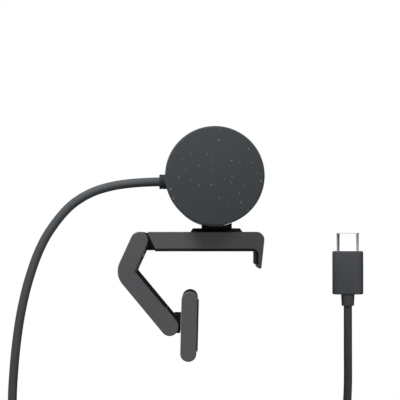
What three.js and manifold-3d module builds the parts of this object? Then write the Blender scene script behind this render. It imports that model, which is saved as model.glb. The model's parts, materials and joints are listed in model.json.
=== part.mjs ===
// A barrel webcam on a folding monitor clip, with its USB-C cord.
// Millimetres. The lens looks along +X, the camera barrel lies along Y, and +Z is up.
// The origin is on the underside of the clip's pad, straight below the swivel's pivot.
import * as THREE from "three";
import { mergeVertices } from "three/addons/utils/BufferGeometryUtils.js";
import Module from "manifold-3d";

// Fits: between flat faces at rest, between curved faces, round a pin, and between moving faces.
const SEAT_GAP = 0.05;
const SLIP_GAP = 0.3;
const PIN_GAP = 0.1;
const RUN_GAP = 0.25;

// Clip bar and its lip.
const CLIP_WIDTH = 32;
const PAD_THICKNESS = 0.8;
const BAR_THICKNESS = 5.8;
const BAR_REAR_X = -23.4;
const BAR_REAR_SLANT = 2.6;
const LIP_INNER_X = 13.94;
const LIP_THICKNESS = 2.12;
const LIP_TIP_THICKNESS = 1.16;
const LIP_DROP = 5.85;
const LIP_PAD_DROP = 4.5;
const LIP_FILLET = 2;
const CORNER_RADIUS = 2.7;

// Hinge bracket at the bar's rear.
const BRACKET_WIDTH = 18.4;
const BRACKET_RADIUS = 2.5;
const BRACKET_TONGUE = 10;
const BRACKET_TONGUE_THICKNESS = 3;
const BRACKET_WEB_BOTTOM = 0.3;
const BRACKET_WEB_TOP_DROP = 0.3;
const HINGE_BEHIND_BAR = 2.7;
const PIN_RADIUS = 1.1;
const WASHER_THICKNESS = 0.4;
const WASHER_RADIUS = 2.2;

// Arm: two straight stretches and a bend between them.
const ARM_WIDTH = 6;
const PIN_END_COVER = 2;
const UPPER_ARM_LENGTH = 11.93;
const UPPER_ARM_LEAN = 24.5;
const LOWER_ARM_LENGTH = 23.72;
const LOWER_ARM_LEAN = 39.75;
const ARM_BEND_RADIUS = 3.8;
const HEAD_SLOT_RADIUS = 4.7;
const TAIL_SLOT_RADIUS = 5.8;
const INLAY_THICKNESS = 0.7;
const INLAY_SIDE_WALL = 0.6;

// Foot.
const FOOT_LENGTH = 23.6;
const FOOT_THICKNESS = 5.45;
const FOOT_STANDOFF = 6.5;
const FOOT_RISE = 0.25;
const FOOT_TILT = 1.4;
const FOOT_PAD_LENGTH = 16.7;
const FOOT_PAD_PROUD = 0.4;
const FOOT_PAD_DEPTH = 1;
const FOOT_PAD_SIDE_WALL = 1;
const LUG_RADIUS = 2.4;
const LUG_ABOVE = 4.1;
const LUG_BELOW = 2.3;

// Swivel.
const SWIVEL_RADIUS = 9;
const SWIVEL_TOP_RADIUS = 8.15;
const SWIVEL_THICKNESS = 1.24;
const SADDLE_WIDTH = 10.3;
const SADDLE_LENGTH = 26;
const SADDLE_WEB = 0.54;
const SADDLE_WRAP = 1.9;
const BOLT_RADIUS = 1.8;
const BOLT_HEAD_RADIUS = 3.8;
const BOLT_HEAD_THICKNESS = 1.3;
const SPRING_WASHER_THICKNESS = 0.5;
const MAGNET_RADIUS = 2;
const MAGNET_THICKNESS = 0.7;
const MAGNET_OFFSET = 5;

// Camera barrel.
const BARREL_RADIUS = 15.75;
const BARREL_LENGTH = 110;
const BARREL_BEHIND_PIVOT = 0.92;
const BARREL_WALL = 1.6;
const CAP_THICKNESS = 1.8;
const CAP_EDGE_RADIUS = 0.5;
const KNOB_LENGTH = 11;
const FRONT_SPLIT_X = 6;
const PART_LINE = 0.3;
const WINDOW_LENGTH = 46;
const WINDOW_HEIGHT = 15;
const WINDOW_THICKNESS = 1.2;
const COVER_RADIUS = 5;
const COVER_THICKNESS = 0.8;
const COVER_FRONT_X = 14.55;
const LENS_RADIUS = 4.4;
const LENS_FRONT_X = 11.6;
const LENS_SEAT_DEPTH = 1.2;
const LENS_FLANGE = 1.2;
const LENS_FLANGE_X = 7;
const LENS_CHAMFER = 0.6;
const LENS_DOME = 0.9;
const LENS_EDGE_SETBACK = 0.4;
const GLASS_RADIUS = 3.1;
const HOLDER_SIDE = 13;
const HOLDER_FRONT_X = 3.4;
const HOLDER_BACK_X = 1.4;
const HOLDER_ROOF = 0.6;
const LIGHT_WAY_RADIUS = 2.5;
const SENSOR_SIZE = [0.95, 6.8, 5.8];
const SENSOR_ROOM = [8, 7];
const SENSOR_BOARD_THICKNESS = 1;
const SENSOR_BOARD_LIFT = 0.4;
const SHUTTER_RADIUS = 13.35;
const SHUTTER_THICKNESS = 0.6;
const SHUTTER_HALF_ANGLE = 24;
const SHUTTER_TURN = 75;
const SHUTTER_PAST_LENS = 7;
const BOARD_THICKNESS = 1.2;
const BOARD_HEIGHT = 20;
const BOARD_BACK_X = -4.6;
const BOARD_SCREW_PLACES = [-38, 34];
const SCREW_RADIUS = 0.85;
const SCREW_HEAD_RADIUS = 1.7;
const SCREW_HEAD_THICKNESS = 1;
const PROCESSOR_SIDE = 10;
const PROCESSOR_THICKNESS = 1.05;
const PROCESSOR_Y = -16;
const SPREADER_LENGTH = 22;
const SPREADER_HEIGHT = 16;
const SPREADER_BASE = 1;
const FIN_REACH = 1.6;
const FIN_THICKNESS = 1;
const FIN_HEIGHTS = [-7, -3.5, 0, 3.5, 7];
const SOCKET_SIZE = [2.45, 8, 4];
const SOCKET_Y = 8;
const ANCHOR_SIZE = [2.6, 6, 6];
const ANCHOR_BACK_X = -11;
const CHASSIS_X = -2;
const CHASSIS_THICKNESS = 1.6;
const CHASSIS_MARGIN = 1;
const CHASSIS_RIM = 3;
const CHASSIS_OPENINGS = [-32, 16];
const CHASSIS_OPENING_LENGTH = 14;
const BULKHEAD_RADIUS = 12.2;
const BULKHEAD_THICKNESS = 2;
const AXLE_RADIUS = 2;
const AXLE_SHORT_OF_CAP = 2;
const HUB_WALL = 2.4;
const DETENT_THICKNESS = 0.5;
const KNOB_WALL = 2.6;
const KNOB_FLOOR = 1.5;
const RETAINER_RIM = 1.6;
const RETAINER_THICKNESS = 1;
const KEEPER_THICKNESS = 0.7;
const KEEPER_LENGTH = 30;
const KEEPER_BACK_ANGLE = 30;
const KEEPER_FRONT_ANGLE = 55;
const MICROPHONE_ANGLE = 40;
const MICROPHONE_Y = 20;
const MICROPHONE_SIZE = [1.2, 3.8, 2.8];
const SOUND_PORT_RADIUS = 0.4;
const SOUND_HOLE_RADIUS = 0.5;
const LIGHT_Y = -12;
const LIGHT_RADIUS = 0.8;

// Strain relief and cord.
const RELIEF_RADIUS = 2.525;
const RELIEF_REACH = 18.8;
const RELIEF_DROP = 0.4;
const CORD_DIAMETER = 3.1;
const COIL_COLUMNS = 4;
const COIL_ROWS = 3;
const COIL_MIDDLE_RADIUS = 17.3;
const COIL_PITCH = 1.02 * CORD_DIAMETER;
const COIL_X = -12;
const COIL_Z = -138;
const TIE_WIDTH = 9;
const TIE_THICKNESS = 0.9;

// Plug.
const PLUG_X = 49;
const PLUG_Y = 45;
const PLUG_TIP_Z = 6.2;
const SHELL_WIDTH = 8.25;
const SHELL_THICKNESS = 2.4;
const SHELL_LENGTH = 6.65;
const SHELL_WALL = 0.3;
const SHELL_ROOT = 1.5;
const GRIP_WIDTH = 11.4;
const GRIP_THICKNESS = 6;
const GRIP_LENGTH = 16;
const PLUG_RELIEF_LENGTH = 4.2;
const PLUG_RELIEF_RADIUS = 2.6;

// Facets in a full turn.
const BARREL_FACETS = 64;
const SMALL_FACETS = 20;
const CORD_FACETS = 8;
const TINY_FACETS = 12;
const LENS_FACETS = 32;

const wasm = await Module();
wasm.setup();

const degrees = THREE.MathUtils.degToRad;
const clipTop = PAD_THICKNESS + BAR_THICKNESS;
const clipSide = CLIP_WIDTH / 2;
const swivelTop = clipTop + SWIVEL_THICKNESS;
const barrelZ = swivelTop + SEAT_GAP + SADDLE_WEB + BARREL_RADIUS + PIN_GAP;
const nearEnd = -BARREL_LENGTH / 2;
const farEnd = BARREL_LENGTH / 2;
const knobStart = farEnd - KNOB_LENGTH;
const innerRadius = BARREL_RADIUS - BARREL_WALL;

const armHinge = new THREE.Vector2(BAR_REAR_X - HINGE_BEHIND_BAR, clipTop - ARM_WIDTH / 2);
const armCorner = armHinge
  .clone()
  .add(new THREE.Vector2(-Math.sin(degrees(UPPER_ARM_LEAN)), -Math.cos(degrees(UPPER_ARM_LEAN)))
    .multiplyScalar(UPPER_ARM_LENGTH));
const footHinge = armCorner
  .clone()
  .add(new THREE.Vector2(Math.sin(degrees(LOWER_ARM_LEAN)), -Math.cos(degrees(LOWER_ARM_LEAN)))
    .multiplyScalar(LOWER_ARM_LENGTH));

// ---- Shape helpers ----

// A geometry as a solid for joining and cutting.
function solidOf(geometry) {
  const bare = geometry.clone();
  bare.deleteAttribute("normal");
  bare.deleteAttribute("uv");
  const merged = mergeVertices(bare, 1e-4);
  return new wasm.Manifold(
    new wasm.Mesh({
      numProp: 3,
      vertProperties: merged.attributes.position.array,
      triVerts: new Uint32Array(merged.index.array),
    }),
  );
}

function geometryOf(solid) {
  const mesh = solid.getMesh();
  return new THREE.BufferGeometry()
    .setAttribute("position", new THREE.BufferAttribute(mesh.vertProperties, 3))
    .setIndex(new THREE.BufferAttribute(mesh.triVerts, 1));
}

function cut(geometry, ...cutters) {
  const solid = cutters.reduce((rest, cutter) => rest.subtract(solidOf(cutter)), solidOf(geometry));
  return geometryOf(solid);
}

function join(...geometries) {
  return geometryOf(geometries.map(solidOf).reduce((sum, next) => sum.add(next)));
}

function common(first, second) {
  return geometryOf(solidOf(first).intersect(solidOf(second)));
}

// A box between two corners.
function boxBetween(low, high) {
  const size = high.map((value, i) => value - low[i]);
  const middle = high.map((value, i) => (value + low[i]) / 2);
  return new THREE.BoxGeometry(...size).translate(...middle);
}

// A solid of revolution about Y, from [radius, y] corners listed anticlockwise.
function turned(corners, facets = SMALL_FACETS) {
  const profile = corners.map(([radius, y]) => new THREE.Vector2(radius, y));
  return new THREE.LatheGeometry([...profile, profile[0].clone()], facets);
}

function discAlongY(radius, from, to, facets = SMALL_FACETS) {
  return turned([[0, from], [radius, from], [radius, to], [0, to]], facets);
}

function ringAlongY(inner, outer, from, to, facets = SMALL_FACETS) {
  return turned([[inner, from], [outer, from], [outer, to], [inner, to]], facets);
}

// Turns a piece made along Y so that it lies along Z or X.
const alongZ = (geometry) => geometry.rotateX(Math.PI / 2);
const alongX = (geometry) => geometry.rotateZ(-Math.PI / 2);

// A side outline in X and Z, pulled along Y.
function pulledAlongY(outline, from, to) {
  const geometry = new THREE.ExtrudeGeometry(outline, {
    depth: to - from,
    bevelEnabled: false,
    curveSegments: 10,
  });
  return geometry.rotateX(Math.PI / 2).translate(0, to, 0);
}

// An outline in X and Y, pulled up along Z.
function pulledAlongZ(outline, from, to, curveSegments = 6) {
  return new THREE.ExtrudeGeometry(outline, {
    depth: to - from,
    bevelEnabled: false,
    curveSegments,
  }).translate(0, 0, from);
}

function polygon(...corners) {
  return new THREE.Shape(corners.map(([x, y]) => new THREE.Vector2(x, y)));
}

function roundedRectangle(width, height, radius) {
  const shape = new THREE.Shape();
  const x = width / 2 - radius;
  const y = height / 2 - radius;
  shape.absarc(x, -y, radius, -Math.PI / 2, 0, false);
  shape.absarc(x, y, radius, 0, Math.PI / 2, false);
  shape.absarc(-x, y, radius, Math.PI / 2, Math.PI, false);
  shape.absarc(-x, -y, radius, Math.PI, 1.5 * Math.PI, false);
  return shape;
}

// ---- Clip ----

const boltSeat = PAD_THICKNESS + SLIP_GAP + BOLT_HEAD_THICKNESS + SPRING_WASHER_THICKNESS + 2 * SEAT_GAP;
const lipOuterX = LIP_INNER_X + LIP_THICKNESS;

function clipBar() {
  const outline = new THREE.Shape();
  const tipRadius = LIP_TIP_THICKNESS / 2;
  const tipZ = -LIP_DROP + tipRadius;
  outline.moveTo(BAR_REAR_X + BAR_REAR_SLANT, PAD_THICKNESS);
  outline.absarc(LIP_INNER_X - LIP_FILLET, PAD_THICKNESS - LIP_FILLET, LIP_FILLET, Math.PI / 2, 0, true);
  outline.absarc(LIP_INNER_X + tipRadius, tipZ, tipRadius, Math.PI, 2 * Math.PI, false);
  outline.lineTo(lipOuterX, clipTop - CORNER_RADIUS);
  outline.absarc(lipOuterX - CORNER_RADIUS, clipTop - CORNER_RADIUS, CORNER_RADIUS, 0, Math.PI / 2, false);
  outline.lineTo(BAR_REAR_X, clipTop);
  const bar = pulledAlongY(outline, -clipSide, clipSide);
  const tongueTop = armHinge.y + BRACKET_TONGUE_THICKNESS / 2 + PIN_GAP;
  const tongueBottom = armHinge.y - BRACKET_TONGUE_THICKNESS / 2 - PIN_GAP;
  const tongueSide = BRACKET_WIDTH / 2 + PIN_GAP;
  const pocket = boxBetween(
    [BAR_REAR_X - 1, -tongueSide, tongueBottom],
    [BAR_REAR_X + BRACKET_TONGUE + SLIP_GAP, tongueSide, tongueTop],
  );
  const hole = alongZ(discAlongY(BOLT_RADIUS + PIN_GAP, 0, clipTop + 1));
  const counterbore = alongZ(discAlongY(BOLT_HEAD_RADIUS + SLIP_GAP, 0, boltSeat));
  return cut(bar, pocket, hole, counterbore);
}

// The pad lines the bar's underside and the lip's inner face.
function clipPad() {
  const outline = new THREE.Shape();
  const top = PAD_THICKNESS - SEAT_GAP;
  const back = LIP_INNER_X - SEAT_GAP;
  outline.moveTo(BAR_REAR_X + BAR_REAR_SLANT, 0);
  outline.lineTo(LIP_INNER_X - PAD_THICKNESS, 0);
  outline.lineTo(LIP_INNER_X - PAD_THICKNESS, -LIP_PAD_DROP);
  outline.lineTo(back, -LIP_PAD_DROP);
  outline.absarc(LIP_INNER_X - LIP_FILLET, PAD_THICKNESS - LIP_FILLET, LIP_FILLET - SEAT_GAP,
    0, Math.PI / 2, false);
  outline.lineTo(BAR_REAR_X + BAR_REAR_SLANT, top);
  return pulledAlongY(outline, -clipSide, clipSide);
}

// The bracket's tongue sits in the bar, its web closes the bar's end and its eye holds the arm's pin.
function hingeBracket() {
  const half = BRACKET_TONGUE_THICKNESS / 2;
  const eye = new THREE.Shape();
  eye.absarc(armHinge.x, armHinge.y, BRACKET_RADIUS, 0, 2 * Math.PI, false);
  const side = BRACKET_WIDTH / 2;
  const tongue = boxBetween(
    [armHinge.x, -side, armHinge.y - half],
    [BAR_REAR_X + BRACKET_TONGUE, side, armHinge.y + half],
  );
  const webTop = clipTop - BRACKET_WEB_TOP_DROP;
  const webBack = BAR_REAR_X + BAR_REAR_SLANT - RUN_GAP / 4;
  const web = polygon(
    [armHinge.x, BRACKET_WEB_BOTTOM],
    [webBack, BRACKET_WEB_BOTTOM],
    [webBack, PAD_THICKNESS],
    [BAR_REAR_X + (BAR_REAR_SLANT * BRACKET_WEB_TOP_DROP) / BAR_THICKNESS - RUN_GAP / 4, webTop],
    [armHinge.x, armHinge.y + BRACKET_RADIUS - SEAT_GAP],
  );
  return cut(
    join(pulledAlongY(eye, -side, side), pulledAlongY(web, -side, side), tongue),
    pinAt(armHinge, PIN_RADIUS + PIN_GAP, clipSide),
  );
}

function pinAt(centre, radius, half) {
  return discAlongY(radius, -half, half).translate(centre.x, 0, centre.y);
}

// A friction washer between an eye and an ear; side is -1 or 1.
function hingeWasher(centre, eyeHalf, side) {
  const from = eyeHalf + SEAT_GAP;
  const washer = ringAlongY(PIN_RADIUS + PIN_GAP, WASHER_RADIUS, from, from + WASHER_THICKNESS);
  return (side < 0 ? washer.rotateZ(Math.PI) : washer).translate(centre.x, 0, centre.y);
}

// ---- Arm ----

const upperWay = armCorner.clone().sub(armHinge).normalize();
const lowerWay = footHinge.clone().sub(armCorner).normalize();
const bendTurn = degrees(UPPER_ARM_LEAN + LOWER_ARM_LEAN);
const bendCentre = armCorner
  .clone()
  .add(lowerWay.clone().sub(upperWay).normalize()
    .multiplyScalar(ARM_BEND_RADIUS / Math.cos(bendTurn / 2)));
const earInner = BRACKET_WIDTH / 2 + WASHER_THICKNESS + 2 * SEAT_GAP + RUN_GAP;
const pinHalf = clipSide - PIN_END_COVER;

// The angles, as seen from the bend's centre, at which the bend starts and ends.
const bendStart = Math.PI - degrees(UPPER_ARM_LEAN);
const bendEnd = bendStart + bendTurn;
const outwards = (angle) => new THREE.Vector2(Math.cos(angle), Math.sin(angle));

// The arm's outline, with a round end about each hinge.
function armOutline() {
  const half = ARM_WIDTH / 2;
  const outline = new THREE.Shape();
  outline.absarc(footHinge.x, footHinge.y, half, bendEnd, bendEnd + Math.PI, false);
  outline.absarc(bendCentre.x, bendCentre.y, ARM_BEND_RADIUS - half, bendEnd, bendStart, true);
  outline.absarc(armHinge.x, armHinge.y, half, bendStart + Math.PI, bendStart + 2 * Math.PI, false);
  outline.absarc(bendCentre.x, bendCentre.y, ARM_BEND_RADIUS + half, bendStart, bendEnd, false);
  return outline;
}

// A strip along the arm's inner side, between two depths below that side.
function innerStrip(shallow, deep, headSetback, tailSetback) {
  const near = shallow - ARM_WIDTH / 2;
  const far = deep - ARM_WIDTH / 2;
  const head = armHinge.clone().addScaledVector(upperWay, headSetback);
  const tail = footHinge.clone().addScaledVector(lowerWay, -tailSetback);
  const headSide = outwards(bendStart);
  const tailSide = outwards(bendEnd);
  const outline = new THREE.Shape();
  outline.moveTo(tail.x + tailSide.x * far, tail.y + tailSide.y * far);
  outline.lineTo(tail.x + tailSide.x * near, tail.y + tailSide.y * near);
  outline.absarc(bendCentre.x, bendCentre.y, ARM_BEND_RADIUS + near, bendEnd, bendStart, true);
  outline.lineTo(head.x + headSide.x * near, head.y + headSide.y * near);
  outline.lineTo(head.x + headSide.x * far, head.y + headSide.y * far);
  outline.absarc(bendCentre.x, bendCentre.y, ARM_BEND_RADIUS + far, bendStart, bendEnd, false);
  return outline;
}

// Two ears at each end, with room between them for the bracket's eye and the foot's lug.
function clipArm() {
  const whole = pulledAlongY(armOutline(), -clipSide, clipSide);
  const groove = pulledAlongY(
    innerStrip(-1, INLAY_THICKNESS, HEAD_SLOT_RADIUS, TAIL_SLOT_RADIUS),
    -clipSide + INLAY_SIDE_WALL,
    clipSide - INLAY_SIDE_WALL,
  );
  return cut(
    whole,
    pinAt(armHinge, HEAD_SLOT_RADIUS, earInner),
    pinAt(footHinge, TAIL_SLOT_RADIUS, earInner),
    groove,
    pinAt(armHinge, PIN_RADIUS + PIN_GAP, pinHalf + SEAT_GAP),
    pinAt(footHinge, PIN_RADIUS + PIN_GAP, pinHalf + SEAT_GAP),
  );
}

function armInlay() {
  const end = 3 * SLIP_GAP;
  return pulledAlongY(
    innerStrip(0, INLAY_THICKNESS - PIN_GAP, HEAD_SLOT_RADIUS + end, TAIL_SLOT_RADIUS + end),
    -clipSide + INLAY_SIDE_WALL + PIN_GAP,
    clipSide - INLAY_SIDE_WALL - PIN_GAP,
  );
}

// ---- Foot, in its own frame: the hinge at the origin, the pad facing +X ----

const footBack = FOOT_STANDOFF - FOOT_THICKNESS / 2;
const footFront = FOOT_STANDOFF + FOOT_THICKNESS / 2;
const padFloor = footFront + FOOT_PAD_PROUD - FOOT_PAD_DEPTH;

function footBlock() {
  const half = FOOT_THICKNESS / 2;
  const reach = FOOT_LENGTH / 2 - half;
  const outline = new THREE.Shape();
  outline.absarc(FOOT_STANDOFF, FOOT_RISE + reach, half, 0, Math.PI, false);
  outline.absarc(FOOT_STANDOFF, FOOT_RISE - reach, half, Math.PI, 2 * Math.PI, false);
  const padRoom = FOOT_PAD_LENGTH / 2 + PIN_GAP;
  const padSide = clipSide - FOOT_PAD_SIDE_WALL;
  const pocket = boxBetween(
    [padFloor - SLIP_GAP, -padSide, FOOT_RISE - padRoom],
    [footFront + 1, padSide, FOOT_RISE + padRoom],
  );
  return cut(pulledAlongY(outline, -clipSide, clipSide), pocket);
}

function footPad() {
  const outline = roundedRectangle(
    2 * (clipSide - FOOT_PAD_SIDE_WALL - PIN_GAP),
    FOOT_PAD_LENGTH,
    1,
  );
  return pulledAlongZ(outline, padFloor, footFront + FOOT_PAD_PROUD)
    .rotateX(Math.PI / 2)
    .rotateZ(Math.PI / 2)
    .translate(0, 0, FOOT_RISE);
}

// The lug joins the foot to the pin between the arm's lower ears.
function footLug() {
  const side = BRACKET_WIDTH / 2;
  const eye = new THREE.Shape();
  eye.absarc(0, 0, LUG_RADIUS, 0, 2 * Math.PI, false);
  const seat = footBack - SLIP_GAP;
  const web = polygon(
    [0, -LUG_BELOW],
    [seat, -LUG_BELOW],
    [seat, LUG_ABOVE],
    [0.4 * seat, LUG_ABOVE],
    [-1, LUG_RADIUS - 0.4],
  );
  return cut(
    join(pulledAlongY(eye, -side, side), pulledAlongY(web, -side, side)),
    discAlongY(PIN_RADIUS + PIN_GAP, -clipSide, clipSide),
  );
}

// ---- Swivel ----

const magnetBottom = swivelTop + SEAT_GAP / 2 - MAGNET_THICKNESS / 2;
const magnetPlaces = [-MAGNET_OFFSET, MAGNET_OFFSET];

function magnetAt(y, gap) {
  const top = magnetBottom + MAGNET_THICKNESS;
  return alongZ(discAlongY(MAGNET_RADIUS + gap, magnetBottom - gap, top + gap)).translate(0, y, 0);
}

function swivelDisc() {
  const bottom = clipTop + PIN_GAP;
  const disc = alongZ(turned(
    [[0, bottom], [SWIVEL_RADIUS, bottom], [SWIVEL_TOP_RADIUS, swivelTop], [0, swivelTop]],
    BARREL_FACETS,
  ));
  const bore = alongZ(discAlongY(BOLT_RADIUS + PIN_GAP, 0, swivelTop + 1));
  return cut(disc, bore, ...magnetPlaces.map((y) => magnetAt(y, PIN_GAP)));
}

// A block hollowed to the barrel, which it carries.
function saddle() {
  const bottom = swivelTop + SEAT_GAP;
  const block = pulledAlongZ(
    roundedRectangle(SADDLE_WIDTH, SADDLE_LENGTH, 2),
    bottom,
    bottom + SADDLE_WEB + SADDLE_WRAP,
  );
  const barrel = discAlongY(BARREL_RADIUS + PIN_GAP, nearEnd, farEnd, BARREL_FACETS)
    .translate(-BARREL_BEHIND_PIVOT, 0, barrelZ);
  return cut(block, barrel, ...magnetPlaces.map((y) => magnetAt(y, PIN_GAP)));
}

// The bolt runs up through the bar into the disc; its head hides above the pad.
function pivotBolt() {
  const headBottom = PAD_THICKNESS + SLIP_GAP;
  const headTop = headBottom + BOLT_HEAD_THICKNESS;
  return alongZ(turned([
    [0, headBottom], [BOLT_HEAD_RADIUS, headBottom], [BOLT_HEAD_RADIUS, headTop],
    [BOLT_RADIUS, headTop], [BOLT_RADIUS, swivelTop], [0, swivelTop],
  ]));
}

function springWasher() {
  const top = boltSeat - SEAT_GAP;
  return alongZ(ringAlongY(
    BOLT_RADIUS + PIN_GAP, BOLT_HEAD_RADIUS, top - SPRING_WASHER_THICKNESS, top,
  ));
}

// ---- Camera barrel, about its own axis: X forwards from the axis, Y along it ----

const housingNear = nearEnd + CAP_THICKNESS + PIN_GAP;
const housingFar = knobStart - SLIP_GAP;
const windowBack = BARREL_RADIUS - 0.1 - WINDOW_THICKNESS;

function barrelShell() {
  return ringAlongY(innerRadius, BARREL_RADIUS, housingNear, housingFar, BARREL_FACETS);
}

function rearHousing() {
  const front = boxBetween(
    [FRONT_SPLIT_X - PART_LINE / 2, -BARREL_LENGTH, -BARREL_LENGTH],
    [BARREL_LENGTH, BARREL_LENGTH, BARREL_LENGTH],
  );
  const reliefHole = alongX(discAlongY(RELIEF_RADIUS + PIN_GAP, -RELIEF_REACH, 0))
    .translate(0, 0, -RELIEF_DROP);
  return cut(barrelShell(), front, reliefHole);
}

function windowPrism(gap) {
  const half = WINDOW_HEIGHT / 2 + gap;
  const reach = (WINDOW_LENGTH - WINDOW_HEIGHT) / 2;
  const pill = new THREE.Shape();
  pill.absarc(reach, 0, half, -Math.PI / 2, Math.PI / 2, false);
  pill.absarc(-reach, 0, half, Math.PI / 2, 1.5 * Math.PI, false);
  return pulledAlongZ(pill, 0, 2 * BARREL_RADIUS, 10).rotateX(Math.PI / 2).rotateZ(Math.PI / 2);
}

const microphonePlaces = [-MICROPHONE_Y, MICROPHONE_Y];

// A piece made at the very front, turned down to the microphones' angle.
const toMicrophone = (geometry, y) => geometry.rotateY(degrees(MICROPHONE_ANGLE)).translate(0, y, 0);

function frontHousing() {
  const front = boxBetween(
    [FRONT_SPLIT_X + PART_LINE / 2, -BARREL_LENGTH, -BARREL_LENGTH],
    [BARREL_LENGTH, BARREL_LENGTH, BARREL_LENGTH],
  );
  const bore = () => alongX(discAlongY(SOUND_HOLE_RADIUS, 0, 2 * BARREL_RADIUS, TINY_FACETS));
  const soundHoles = microphonePlaces.map((y) => toMicrophone(bore(), y));
  return cut(common(barrelShell(), front), windowPrism(PIN_GAP), ...soundHoles);
}

function microphone(y) {
  const back = innerRadius - SLIP_GAP;
  const [depth, length, height] = MICROPHONE_SIZE;
  const can = boxBetween([back - depth, -length / 2, -height / 2], [back, length / 2, height / 2]);
  const port = alongX(discAlongY(SOUND_PORT_RADIUS, back - (2 * depth) / 3, back + 1, TINY_FACETS));
  return toMicrophone(cut(can, port), y);
}

// A glossy panel that follows the barrel, with a collar round the lens cover.
function frontWindow() {
  const outer = BARREL_RADIUS - 0.1;
  const band = ringAlongY(windowBack, outer, -WINDOW_LENGTH, WINDOW_LENGTH, BARREL_FACETS);
  const collar = common(
    alongX(discAlongY(COVER_RADIUS + 1, COVER_FRONT_X - COVER_THICKNESS - 0.1, BARREL_RADIUS)),
    discAlongY(outer, -WINDOW_LENGTH, WINDOW_LENGTH, BARREL_FACETS),
  );
  const lensHole = alongX(discAlongY(COVER_RADIUS + PIN_GAP, 0, 2 * BARREL_RADIUS));
  const lightHole = alongX(discAlongY(LIGHT_RADIUS + PIN_GAP, 0, 2 * BARREL_RADIUS, TINY_FACETS))
    .translate(0, LIGHT_Y, 0);
  return cut(join(common(band, windowPrism(0)), collar), lensHole, lightHole);
}

function lensCover() {
  return alongX(discAlongY(COVER_RADIUS, COVER_FRONT_X - COVER_THICKNESS, COVER_FRONT_X));
}

function statusLight() {
  return alongX(discAlongY(LIGHT_RADIUS, LENS_FRONT_X, BARREL_RADIUS - 0.2, TINY_FACETS))
    .translate(0, LIGHT_Y, 0);
}

function lensBarrel() {
  const seat = LENS_FRONT_X - LENS_SEAT_DEPTH;
  const back = HOLDER_FRONT_X + SEAT_GAP;
  const flange = LENS_RADIUS + LENS_FLANGE;
  return alongX(turned([
    [0, back], [flange, back], [flange, LENS_FLANGE_X], [LENS_RADIUS, LENS_FLANGE_X + LENS_CHAMFER],
    [LENS_RADIUS, LENS_FRONT_X], [GLASS_RADIUS + PIN_GAP, LENS_FRONT_X],
    [GLASS_RADIUS + PIN_GAP, seat], [0, seat],
  ], LENS_FACETS));
}

// A domed glass.
function frontLens() {
  const back = LENS_FRONT_X - LENS_SEAT_DEPTH + PIN_GAP;
  const edge = LENS_FRONT_X - LENS_EDGE_SETBACK;
  const face = [1, 0.8, 0.6, 0.4, 0.2, 0].map((share) => (
    [GLASS_RADIUS * share, edge + LENS_DOME * (1 - share * share)]
  ));
  return alongX(turned([[0, back], [GLASS_RADIUS, back], ...face], LENS_FACETS));
}

function lensHolder() {
  const side = HOLDER_SIDE / 2;
  const [roomLength, roomHeight] = SENSOR_ROOM;
  const block = boxBetween([HOLDER_BACK_X, -side, -side], [HOLDER_FRONT_X, side, side]);
  const chipRoom = boxBetween(
    [0, -roomLength / 2, -roomHeight / 2],
    [HOLDER_FRONT_X - HOLDER_ROOF, roomLength / 2, roomHeight / 2],
  );
  const light = alongX(discAlongY(LIGHT_WAY_RADIUS, 0, 2 * HOLDER_FRONT_X));
  return cut(block, chipRoom, light);
}

const chassisFront = CHASSIS_X + CHASSIS_THICKNESS;
const sensorBoardBack = chassisFront + SENSOR_BOARD_LIFT;
const bulkheadNear = housingFar - BULKHEAD_THICKNESS - 1;

function sensorBoard() {
  const side = HOLDER_SIDE / 2;
  return boxBetween([sensorBoardBack, -side, -side], [sensorBoardBack + SENSOR_BOARD_THICKNESS, side, side]);
}

function imageSensor() {
  const back = sensorBoardBack + SENSOR_BOARD_THICKNESS + SEAT_GAP;
  const [depth, length, height] = SENSOR_SIZE;
  return boxBetween([back, -length / 2, -height / 2], [back + depth, length / 2, height / 2]);
}

const screwHole = (y) => alongX(discAlongY(SCREW_RADIUS + PIN_GAP, -BARREL_RADIUS, 0, 16)).translate(0, y, 0);

// The frame that carries the boards, with openings that lighten it.
function innerChassis() {
  const near = housingNear + 5;
  const far = bulkheadNear - SLIP_GAP;
  const half = BOARD_HEIGHT / 2 + CHASSIS_MARGIN;
  const plate = boxBetween([CHASSIS_X, near, -half], [chassisFront, far, half]);
  const openings = CHASSIS_OPENINGS.map((y) => boxBetween(
    [CHASSIS_X - 1, y, CHASSIS_RIM - half],
    [chassisFront + 1, y + CHASSIS_OPENING_LENGTH, half - CHASSIS_RIM],
  ));
  return cut(plate, ...openings, ...BOARD_SCREW_PLACES.map((y) => screwHole(y)));
}

function mainBoard() {
  const half = BOARD_HEIGHT / 2;
  const board = boxBetween(
    [BOARD_BACK_X, housingNear + 6, -half],
    [BOARD_BACK_X + BOARD_THICKNESS, bulkheadNear - 1, half],
  );
  return cut(board, ...BOARD_SCREW_PLACES.map((y) => screwHole(y)));
}

function boardScrew(y) {
  const head = BOARD_BACK_X - SEAT_GAP;
  const headBack = head - SCREW_HEAD_THICKNESS;
  return alongX(turned([
    [0, headBack], [SCREW_HEAD_RADIUS, headBack], [SCREW_HEAD_RADIUS, head],
    [SCREW_RADIUS, head], [SCREW_RADIUS, chassisFront], [0, chassisFront],
  ], 16)).translate(0, y, 0);
}

const chipFront = BOARD_BACK_X - SEAT_GAP;
const chipBack = chipFront - PROCESSOR_THICKNESS;

function processor() {
  const half = PROCESSOR_SIDE / 2;
  return boxBetween([chipBack, -half, -half], [chipFront, half, half]).translate(0, PROCESSOR_Y, 0);
}

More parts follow.
